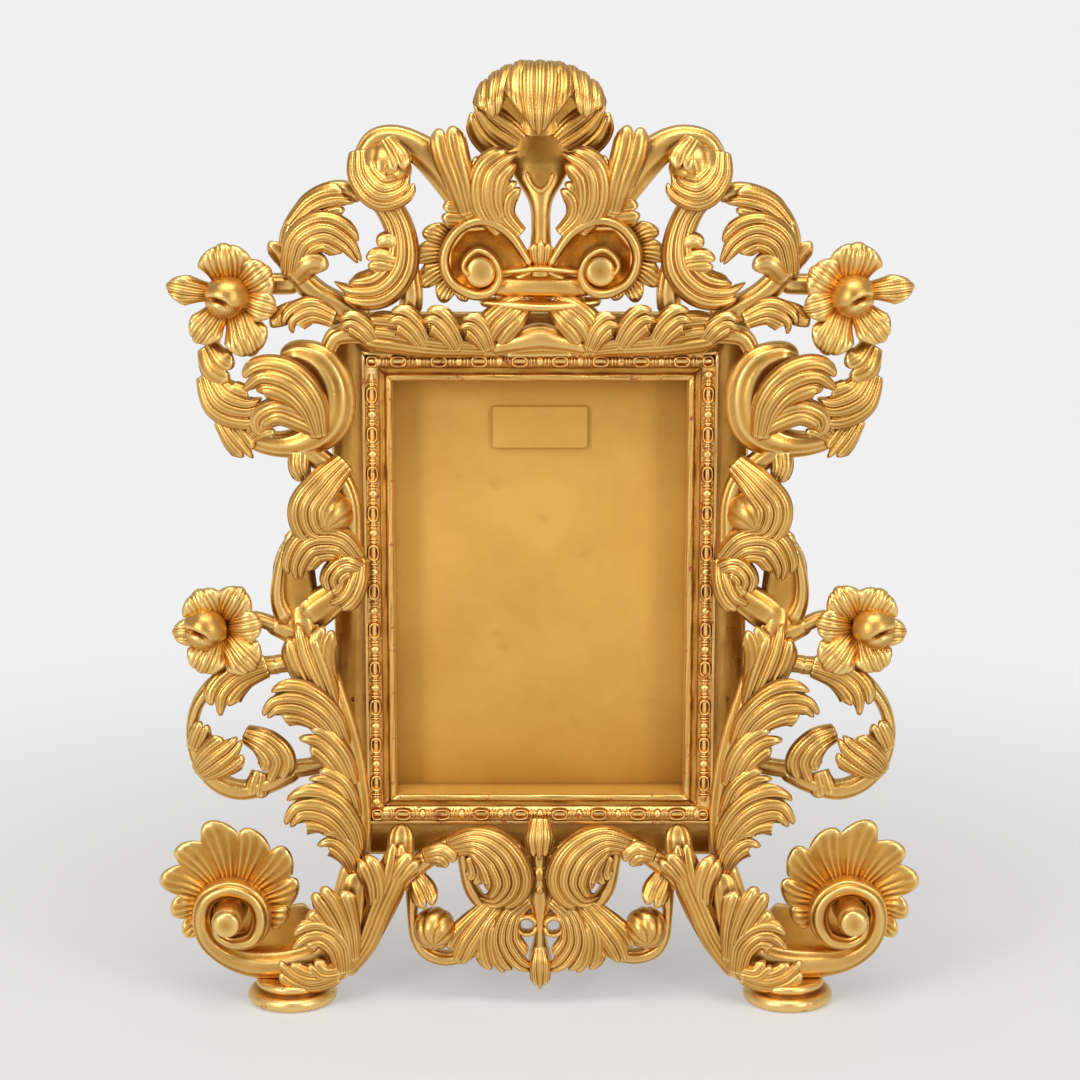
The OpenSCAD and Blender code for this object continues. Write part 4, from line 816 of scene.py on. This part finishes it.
# Corner leaf: the long leaf that climbs from the foot to the underside of the box. Lime wood,
# its rib deep and its flutes long.
pair("corner leaf", [
    stem([(-157, 22, 0, 10, 9), (-141, 44, 0, 12, 10), (-127, 68, 0, 13, 10), (-115, 92, 0, 12, 9),
          (-108, 116, 2, 11, 8), (-106, 140, 6, 10, 8)]),
    stem([(-118, 82, 0, 7, 8), (-108, 95, 0, 8, 8), (-94, 106, 0, 8, 8)]),
    frond([(-150, 26, -6, 7, 7), (-134, 52, -11, 9, 8), (-122, 80, -12, 9, 7),
           (-112, 106, -11, 9, 7), (-108, 136, -6, 7, 5)], fingers=2, tips=0.3),
    frond([(-126, 74, -8, 6, 6), (-125, 96, -14, 8, 7), (-130, 112, -15, 8, 6),
           (-137, 122, -11, 5, 4)], fingers=2),
    frond([(-113, 96, -8, 6, 6), (-103, 112, -14, 8, 7), (-93, 122, -12, 6, 4)], fingers=2),
])


# Apron scroll: a rising stem under the box with an inner turn full of ribs. Lime wood,
# pierced, gilded, darker where it is shaded by the box.
pair("apron scroll", [
    stem([(-110, 90, 0, 8, 9), (-97, 106, -1, 8, 9), (-82, 118, -2, 8, 9), (-62, 129, -3, 8, 10),
          (-40, 133, -3, 8, 10), (-22, 124, -3, 8, 9), (-8, 108, -2, 8, 9)]),
    stem([(-60, 128, 0, 5, 8), (-57, 108, 0, 5, 8), (-52, 90, 0, 6, 8), (-42, 77, 0, 6, 8),
          (-27, 72, 0, 6, 8), (-10, 80, 0, 6, 8)]),
    frond([(-68, 126, -5, 8, 7), (-50, 131, -12, 11, 8), (-33, 121, -17, 15, 9),
           (-25, 102, -18, 15, 8), (-33, 87, -14, 10, 6), (-45, 86, -9, 5, 4)], fingers=5, tips=0.25),
    frond([(-52, 118, -6, 6, 6), (-48, 106, -9, 7, 6), (-53, 97, -8, 5, 4)], fingers=2),
    frond([(-87, 119, -7, 6, 5), (-75, 122, -12, 8, 6), (-66, 112, -9, 6, 4)], fingers=2),
])


# Apron ball: a small hanging fruit under a leaf, in a narrow strap. Carved in the round and
# gilded.
pair("apron ball", [
    stem([(-94, 106, 0, 7, 7), (-97, 88, 0, 6, 7), (-98, 68, 0, 4, 8), (-95, 50, 0, 5, 8),
          (-87, 39, 0, 6, 8), (-73, 34, 0, 6, 8), (-56, 37, -2, 6, 7)]),
    frond([(-97, 104, -2, 6, 5), (-90, 92, -8, 9, 6), (-84, 77, -14, 6, 4)], fingers=2),
    ball(-81, 60, -6, 16.5, flutes=7, twist=1.4, tilt=0.6),
])


# Foot leaf: fronds laid on the front of the foot's stem. Lime wood, deeply undercut, the
# finger ends burnished.
pair("foot leaf", [
    stem([(-160, 20, -13, 9, 6), (-151, 42, -13, 11, 6), (-146, 70, -13, 11, 5),
          (-140, 106, -12, 8, 4)]),
    frond([(-147, 38, -14, 8, 6), (-151, 62, -19, 12, 8), (-160, 83, -22, 16, 8),
           (-170, 98, -22, 15, 6)], fingers=4),
    frond([(-152, 28, -14, 7, 6), (-155, 49, -19, 10, 8), (-166, 60, -22, 10, 8),
           (-179, 59, -24, 10, 7), (-189, 49, -25, 7, 5)]),
    frond([(-156, 25, -14, 7, 6), (-174, 22, -19, 9, 7), (-189, 27, -21, 9, 6),
           (-200, 39, -22, 7, 4)]),
    frond([(-155, 28, -15, 6, 5), (-167, 29, -20, 7, 6), (-176, 39, -20, 6, 4)], fingers=2),
])


# Foot scroll: the great volute that stands on the turned foot. A broad strap winds round a
# forward eye; lime wood, smooth and burnished.
def slab(outline, y0, y1, corner=2.0, dish=0.0):
    """A flat web between scrolls, its front sunk by the dish in its middle."""
    points = np.array(rounded(outline, corner, 2))
    centre = points.mean(0)
    rows = []
    for y, size in ((y1, 0.99), (y1 - 0.5, 1), (y0 + 0.8, 1), (y0 + 0.2, 0.99), (y0, 0.96),
                    (y0 + 0.4 * dish, 0.86), (y0 + 0.8 * dish, 0.66), (y0 + dish, 0.4)):
        flat = centre + (points - centre) * size
        rows.append(np.column_stack([flat[:, 0], np.full(len(flat), y), flat[:, 1]]))
    return loft(rows)


def turned_on(x, z, profile, turns=48):
    """A turned shape standing forward: (radius, y) points about a line along y."""
    a = np.linspace(0, 2 * math.pi, turns, endpoint=False)
    radius, y = np.array(profile, float).T
    radius, y = radius[:, None], y[:, None]
    return loft(np.stack([x + radius * np.cos(a), y + 0 * a, z + radius * np.sin(a)], -1))


pair("foot scroll", [
    stem([(-249, 68, -14, 2.5, 6), (-247, 57, -12, 4, 8), (-236, 50, -9, 5.5, 10), (-221, 53, -6, 7, 12),
          (-214, 68, -4, 8, 12), (-220, 84, -3, 7.5, 12), (-238, 92, -3, 7.5, 12),
          (-255, 85, -3, 7.5, 12), (-260, 67, -3, 8, 12), (-254, 48, -2, 9, 11),
          (-238, 35, -2, 10, 10), (-216, 30, -2, 12, 11), (-192, 31, -2, 12, 12),
          (-170, 37, 0, 13, 12), (-154, 58, 0, 13, 10), (-146, 84, 0, 13, 9),
          (-140, 114, 2, 10, 8)]),
    slab([(-216, 84), (-238, 92), (-258, 82), (-260, 60), (-246, 42), (-216, 30), (-170, 30),
          (-165, 58), (-182, 76), (-212, 72)], 1, 6),
    turned_on(-238, 74, [(13.4, 4), (12.4, -4), (11.8, -14), (11.4, -30), (11.8, -33), (11.2, -35),
                         (10.2, -35.8), (9.8, -38.4), (8.8, -39.7), (5, -40), (1, -40)]),
])


# Volute shell: the scalloped palmette behind the volute. Lime wood, its lobes cut thin,
# gilded in front and washed with ochre behind.
def scallops(x, z, y, inner, lobes, thick, flare, ribs=4):
    """A shell of broad leafy lobes of (angle, half angle, reach) round a centre."""
    start = min(c - h for c, h, r in lobes)
    stop = max(c + h for c, h, r in lobes)
    angle = np.linspace(start, stop, int((stop - start) * 1.3))[:, None]
    centres = np.array([c for c, h, r in lobes], float)
    widths = np.array([h for c, h, r in lobes], float)
    lobe = np.argmin(np.abs(angle - centres) / widths, axis=1)
    local = np.clip((angle[:, 0] - centres[lobe]) / widths[lobe], -1, 1)[:, None]
    ends = np.array([r for c, h, r in lobes], float)
    envelope = 0.5 * ends[lobe][:, None] + 0.5 * np.interp(angle, centres, ends)
    reach = envelope * (0.83 + 0.17 * (1 - np.abs(local) ** 2.2))
    out = np.linspace(0, 1, 30)[None, :]
    r = inner + (reach - inner) * out
    crest = np.clip(1 - local**2, 0, 1) ** 0.5
    fine = np.cos(ribs * math.pi * local)
    body = 0.35 + 0.8 * crest * np.sin(math.pi * (0.12 + 0.62 * out))
    front = thick * (body + 0.16 * fine * np.sqrt(out) * (1 - out) ** 0.6) * np.sqrt(1 - 0.93 * out**10)
    depth = y - flare * out**1.6 - front
    rad = np.radians(angle)
    # The lobes lean a little round the centre, as leaves in a wind.
    rad = rad + 0.1 * out**2 * (1 - local**2)
    skin = np.stack([x + r * np.cos(rad), depth, z + r * np.sin(rad)], -1)
    low = np.stack([x + r * np.cos(rad), y - flare * out**1.6 + 0 * r, z + r * np.sin(rad)], -1)[:, ::-1]
    return loft(np.concatenate([skin, low], 1))


pair("volute shell", [
    stem([(-226, 50, 9, 8, 4), (-244, 52, 9, 8, 4), (-256, 62, 9, 8, 4), (-258, 78, 9, 8, 4),
          (-248, 92, 9, 8, 4), (-232, 92, 9, 8, 4), (-220, 80, 9, 8, 4), (-212, 66, 9, 8, 4)]),
    scallops(-238, 72, 10, 16, [(-10, 15, 45), (16, 14, 57), (42, 15, 66), (70, 15, 68), (96, 15, 74),
                                (122, 14, 66), (148, 15, 60), (176, 14, 46), (203, 14, 42), (228, 12, 34)],
             6, 9),
])


# Crest cartouche: two dished volutes with scalloped fringes over a three-ringed collar, and
# the leafy stem of the shell above. Carved from one block of lime wood and pierced; the
# dishes and eyes are left flat and their gold is brown with age and with painted shade in the dishes.
def whole(name, middle, left):
    """A block that crosses the middle: its middle parts, and its left parts on both sides."""
    parts = [(hand(p, 1), f) for p, f in middle + left]
    parts += [(hand(p, 2) * [-1, 1, 1], f) for p, f in left]
    carving(name, parts)


whole("crest cartouche", [
    stem([(0, 540, 4, 10, 8), (0, 570, 2, 9, 9), (0, 600, 0, 7, 8), (0, 618, 0, 9, 8),
          (0, 632, 2, 17, 7), (0, 650, 4, 27, 6), (0, 668, 6, 33, 5)], grooves=()),
    # The stem opens in a hollow below the shell.
    stem([(-10, 640, -3, 2, 4), (-6, 631, -5, 2, 4), (0, 627, -6, 2.5, 4), (6, 631, -5, 2, 4),
          (10, 640, -3, 2, 4)], grooves=()),
    # The collar is a hollow band between two thin rims, bowed forward.
    stem([(-44, 545, 3, 4, 7), (-22, 543, -4, 4, 9), (0, 542, -7, 4, 10), (22, 543, -4, 4, 9),
          (44, 545, 3, 4, 7)], grooves=()),
    stem([(-38, 556, 3, 9, 7), (-20, 556, -2, 8, 7), (0, 556, -4, 8, 7), (20, 556, -2, 8, 7),
          (38, 556, 3, 9, 7)], grooves=()),
    stem([(-30, 567, 2, 3, 8), (-14, 569, -4, 3, 9), (0, 570, -6, 3, 10), (14, 569, -4, 3, 9),
          (30, 567, 2, 3, 8)], grooves=()),
    stem([(-38, 509, 4, 6, 7), (-16, 515, 0, 9, 9), (0, 518, -1, 11, 10), (16, 515, 0, 9, 9),
          (38, 509, 4, 6, 7)]),
    frond([(0, 570, -4, 4, 5), (0, 580, -8, 7, 5), (0, 591, -7, 6, 4)]),
    slab([(-25, 504), (25, 504), (12, 516), (6, 527), (-6, 527), (-12, 516)], -3, 6),
    slab([(-34, 547), (34, 547), (30, 566), (-30, 566)], -3, 5.5),
], [
    # The rim winds in from the collar to the eye.
    stem([(-7, 572, -7, 3, 6), (-20, 593, -8, 4, 6), (-32, 602, -8, 4, 6), (-45, 605, -8, 4, 6),
          (-59, 600, -8, 4, 6), (-68, 589, -8, 4, 6), (-71, 576, -8, 4, 6), (-67, 563, -8, 4, 6),
          (-58, 555, -8, 4, 6), (-45, 551, -8, 4, 6), (-34, 556, -9, 3.5, 6), (-30, 567, -9, 3, 6),
          (-35, 579, -10, 2.6, 6), (-45, 584, -10, 2.4, 5), (-53, 580, -10, 2.2, 5),
          (-57, 572, -10, 2, 5), (-53, 565, -10, 1.8, 4)], grooves=()),
    slab([(-6, 566), (-14, 586), (-30, 601), (-56, 600), (-69, 584), (-69, 566), (-57, 553), (-38, 551)],
         -7, 6.5, dish=7),
    turned_on(-44, 568, [(12.5, 4), (12, -4), (11.4, -9), (10.4, -10.2), (6, -10.6), (1, -10.7)]),
    scallops(-48, 577, 6, 21, [(97, 12, 31), (119, 13, 39), (145, 14, 44), (172, 14, 46), (200, 14, 45),
                               (227, 13, 41), (250, 12, 33)], 5, 4, ribs=5),
    frond([(-28, 598, -4, 8, 7), (-38, 618, -10, 12, 8), (-35, 641, -12, 12, 8),
           (-16, 655, -8, 6, 5)], tips=0.2),
    frond([(-15, 596, -5, 5, 6), (-26, 609, -8, 7, 6), (-25, 623, -9, 7, 6),
           (-13, 633, -7, 5, 5)], fingers=2),
    frond([(-12, 544, 0, 8, 7), (-22, 536, -6, 12, 8), (-32, 526, -6, 12, 7),
           (-39, 512, 0, 8, 5)], fingers=3),
])


# Crest shell: one fluted palmette that rises, bows over and droops forward in lobes, before
# two pointed back leaves. Carved from lime wood, hollowed underneath; bright on top.
whole("crest shell", [
    stem([(0, 648, 6, 18, 5), (0, 668, 8, 16, 5), (0, 688, 8, 14, 5)]),
    frond([(0, 664, 8, 10, 6), (0, 690, 8, 17, 7), (0, 709, 2, 18, 8), (0, 714, -12, 18, 8),
           (0, 703, -25, 18, 8), (0, 686, -32, 14, 7), (0, 668, -30, 6, 5)],
          fingers=5, side=(-1, 0, 0), tips=0.3, cleft=0.35),
    slab([(-30, 652), (30, 652), (46, 680), (30, 690), (-30, 690), (-46, 680)], 5, 11, dish=3),
], [
    frond([(-6, 652, 8, 9, 5), (-24, 662, 7, 15, 6), (-38, 674, 4, 13, 6), (-48, 690, 1, 4, 4)],
          tips=0.2),
    frond([(-8, 662, 8, 10, 6), (-18, 688, 6, 14, 7), (-24, 704, 0, 16, 8), (-26, 708, -11, 17, 9),
           (-29, 700, -21, 15, 8), (-31, 690, -26, 11, 6), (-32, 681, -25, 6, 4)],
          fingers=4, side=(-0.87, 0, -0.49), tips=0.25, cleft=0.5),
    # A small stud on each side stands for a hole where the gouge went through.
    turned_on(-9, 711, [(2.4, -17), (2.2, -21.4), (0.2, -21.5)], 16),
])


# Apron palmette: the middle column under the box, with two pierced eyes and three pairs of
# hanging leaves. Carved lime wood, gilded, dark between the leaves.
whole("apron palmette", [
    stem([(0, 144, 4, 9, 9), (0, 120, -2, 8, 10), (0, 100, -4, 8, 10), (0, 84, -4, 10, 10),
          (0, 66, -3, 5, 9), (0, 50, -2, 5, 9), (0, 32, -2, 9, 9), (0, 10, -3, 4, 5)]),
    frond([(0, 146, -4, 7, 5), (0, 135, -11, 9, 6), (0, 124, -12, 7, 5), (0, 115, -10, 3, 4)]),
    ball(0, 105, -10, 6.5, flutes=0, deep=0),
    ball(0, 92, -11, 4.5, flutes=0, deep=0),
    frond([(0, 44, -6, 4, 5), (0, 33, -11, 7, 6), (0, 22, -11, 6, 5), (0, 10, -7, 3, 4)]),
], [
    # The pierced eye and the leaf that sweeps round it.
    stem([(-3, 63, -8, 2.5, 6), (-5, 68, -8, 2.5, 6), (-10, 70, -8, 2.5, 6), (-15, 68, -8, 2.5, 6),
          (-17, 63, -8, 2.5, 6), (-15, 58, -8, 2.5, 6), (-10, 56, -8, 2.5, 6), (-5, 58, -8, 2.5, 6),
          (-3, 63, -8, 2.5, 6)], grooves=()),
    frond([(-9, 82, -4, 6, 7), (-22, 71, -9, 8, 8), (-26, 52, -11, 10, 8), (-18, 36, -11, 10, 7),
           (-6, 27, -8, 6, 5)], fingers=4),
    frond([(-24, 76, -4, 7, 6), (-36, 58, -8, 10, 7), (-36, 38, -9, 10, 6),
           (-28, 24, -6, 7, 4)]),
    frond([(-34, 77, -3, 9, 6), (-46, 62, -6, 13, 7), (-57, 46, -8, 14, 6), (-63, 31, -5, 9, 4)],
          fingers=4),
    frond([(-38, 70, -2, 7, 6), (-48, 65, -5, 6, 5), (-55, 63, -4, 4, 3)], fingers=1),
    stem([(-34, 50, -2, 7, 6), (-50, 42, -2, 7, 6), (-68, 36, -1, 6, 6)]),
])


# Turned feet: lime wood turned on a lathe, a fat lower roll, a groove and a smaller disc.
# Gilded over red clay, rubbed on the roll's edge.
foot_x = 192


def upright_lathe(x, profile, turns=96):
    """A turned shape standing on the table: (radius, z) points about an upright line."""
    a = np.linspace(0, 2 * math.pi, turns, endpoint=False)
    radius, z = np.array(profile, float).T
    radius, z = radius[:, None], z[:, None]
    return loft(np.stack([x + radius * np.cos(a), radius * np.sin(a), z + 0 * a], -1)[:, ::-1])


foot = [(29.5, 0), (31.5, 0.3), (33.3, 1.8), (34.4, 4), (34.4, 6.2), (33.3, 8.5), (31.5, 9.9),
        (29.3, 10.3), (26.6, 10.5), (26.2, 11.2), (26.2, 12.2), (27.4, 13.2), (28, 15.2),
        (27.4, 17.4), (25.8, 18.6), (24, 19)]
for side, x in (("left", -foot_x), ("right", foot_x)):
    made = shape("turned foot " + side, [upright_lathe(x, foot)], worn_gold)
    hollows(made)
    in_place(made, "foot_disc_" + side)


# Hinge and buttons: yellow brass, sawn and filed, the buttons and the hinge plate held by
# screws. It is dulled brown, with small bright scratches where hands and the leg rub it.
def old_brass():
    """Brass in brown and yellow clouds, the yellow smoother, with fine scratches."""
    made, tree, place = material("old brass")
    cloud = add(tree, "ShaderNodeTexNoise", {"Vector": place, "Scale": 120, "Detail": 5, "Roughness": 0.6})
    brown = add(tree, "ShaderNodeMapRange", {"Value": cloud, 1: 0.35, 2: 0.7}, **smooth)
    metal = add(tree, "ShaderNodeMix", {0: brown, 6: "#b8913f", 7: "#7d5a26"}, **colours)
    rough = add(tree, "ShaderNodeMapRange", {"Value": cloud, 1: 0.3, 2: 0.7, 3: 0.28, 4: 0.5}, **smooth)
    fine = add(tree, "ShaderNodeTexNoise", {"Vector": place, "Scale": 2600, "Detail": 2, "Roughness": 0.5})
    bump = add(tree, "ShaderNodeBump", {"Height": fine, "Strength": 0.2, "Distance": 0.0002})
    surface = add(tree, "ShaderNodeBsdfPrincipled",
                  {"Base Color": metal, "Metallic": 1.0, "Roughness": rough, "Normal": bump})
    add(tree, "ShaderNodeOutputMaterial", {"Surface": surface})
    return made


def softened(node, finish, width):
    """The CAD piece itself with its edges broken and a finish."""
    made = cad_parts[node]
    made.data.materials.clear()
    made.data.materials.append(finish)
    modifier = made.modifiers.new("broken edges", "BEVEL")
    modifier.width = width
    modifier.segments = 3
    modifier.limit_method = "ANGLE"
    modifier.angle_limit = math.radians(35)
    modifier.harden_normals = True


brass = old_brass()
for node in ("hinge_bracket", "hinge_pin", "back_screws", "turn_button_lower_left",
             "turn_button_lower_right", "turn_button_upper_left", "turn_button_upper_right"):
    softened(node, brass, width=0.0004)


# Prop leg: a sawn and planed pine leg, oiled, its grain running down its length. It hangs on
# the hinge pin and its edges are broken with a plane.
def oiled_pine():
    """Bands of early and late wood with dark pores, both drawn out along the leg."""
    made, tree, place = material("oiled pine")
    long = add(tree, "ShaderNodeMapping", {"Vector": place, "Scale": (90, 90, 5)})
    grain = add(tree, "ShaderNodeTexNoise", {"Vector": long, "Scale": 1, "Detail": 6, "Distortion": 0.6})
    late = add(tree, "ShaderNodeMapRange", {"Value": grain, 1: 0.35, 2: 0.65}, **smooth)
    wood = add(tree, "ShaderNodeMix", {0: late, 6: "#9a6b3a", 7: "#6e4622"}, **colours)
    short = add(tree, "ShaderNodeMapping", {"Vector": place, "Scale": (900, 900, 30)})
    pores = add(tree, "ShaderNodeTexNoise", {"Vector": short, "Scale": 1, "Detail": 3, "Roughness": 0.55})
    dark = add(tree, "ShaderNodeMapRange", {"Value": pores, 1: 0.6, 2: 0.8, 4: 0.5}, **smooth)
    wood = add(tree, "ShaderNodeMix", {0: dark, 6: wood, 7: "#4a2d14"}, **colours)
    height = add(tree, "ShaderNodeMath", {0: grain, 1: pores}, operation="ADD")
    bump = add(tree, "ShaderNodeBump", {"Height": height, "Strength": 0.3, "Distance": 0.0004})
    surface = add(tree, "ShaderNodeBsdfPrincipled",
                  {"Base Color": wood, "Roughness": 0.5, "Normal": bump})
    add(tree, "ShaderNodeOutputMaterial", {"Surface": surface})
    return made


softened("prop_leg", oiled_pine(), width=0.0008)


# Studio: a wide pale floor that runs on past the picture's top edge, soft boxes to the left,
# right and above, and the camera at the place the photo was taken from.
def paper():
    """Matt paper that takes the frame's shadow and runs into even paleness farther off."""
    made, tree, place = material("studio paper")
    surface = add(tree, "ShaderNodeBsdfPrincipled", {"Base Color": "#dedede", "Roughness": 0.9})
    glow = add(tree, "ShaderNodeEmission", {"Color": "#f0f0f1", "Strength": 1.0})
    far = add(tree, "ShaderNodeVectorMath", {0: place}, operation="LENGTH")
    pale = add(tree, "ShaderNodeMapRange", {"Value": far, 1: 0.3, 2: 1.1, 3: 0.35}, **smooth)
    rays = add(tree, "ShaderNodeLightPath").outputs
    seen = {0: rays["Is Camera Ray"], 1: rays["Is Glossy Ray"]}
    seen = add(tree, "ShaderNodeMath", seen, operation="MAXIMUM")
    even = add(tree, "ShaderNodeMath", {0: seen, 1: pale}, operation="MULTIPLY")
    both = add(tree, "ShaderNodeMixShader", {0: even, 1: surface, 2: glow})
    add(tree, "ShaderNodeOutputMaterial", {"Surface": both})
    return made


floor_side, floor_front, floor_back = 25, -6, 45
sheet = bpy.data.meshes.new("studio floor")
sheet.from_pydata([(-floor_side, floor_front, 0), (floor_side, floor_front, 0),
                   (floor_side, floor_back, 0), (-floor_side, floor_back, 0)], [], [(0, 1, 2, 3)])
sheet.materials.append(paper())
floor = bpy.data.objects.new("studio_floor", sheet)
bpy.context.scene.collection.objects.link(floor)
lit_point = (0.0, 0.0, 0.36)


def soft_box(name, place, width, height, watts):
    """A lamp with a soft front of that size in metres, turned towards the frame's middle."""
    lamp = bpy.data.lights.new(name, "AREA")
    lamp.shape = "RECTANGLE"
    lamp.size, lamp.size_y, lamp.energy = width, height, watts
    made = bpy.data.objects.new(name, lamp)
    made.location = place
    made.rotation_euler = (Vector(lit_point) - Vector(place)).to_track_quat("-Z", "Y").to_euler()
    bpy.context.scene.collection.objects.link(made)


soft_box("left soft box", (-1.45, -1.9, 1.15), 0.55, 1.3, 19)
soft_box("right soft box", (1.5, -1.8, 1.05), 0.5, 1.3, 13)
soft_box("top soft box", (0.0, -0.7, 2.2), 1.6, 1.0, 19)

sky = bpy.data.worlds.new("pale room")
bpy.context.scene.world = sky
sky.use_nodes = True
room = sky.node_tree.nodes["Background"]
room.inputs["Color"].default_value = linear("#f4f2ee")
room.inputs["Strength"].default_value = 0.55

# The camera was worked out from the opening's sides and the rounds of the feet in the photo.
aim = Vector((0.0, face_y, 0.36475))
distance = 2.25
pitch = math.radians(12.7)
lens = bpy.data.cameras.new("camera")
lens.lens, lens.sensor_width = 100, 36
camera = bpy.data.objects.new("camera", lens)
camera.location = aim + distance * Vector((0.0, -math.cos(pitch), math.sin(pitch)))
camera.rotation_euler = (aim - camera.location).to_track_quat("-Z", "Y").to_euler()
bpy.context.scene.collection.objects.link(camera)
bpy.context.scene.camera = camera
bpy.context.scene.view_settings.view_transform = "Standard"
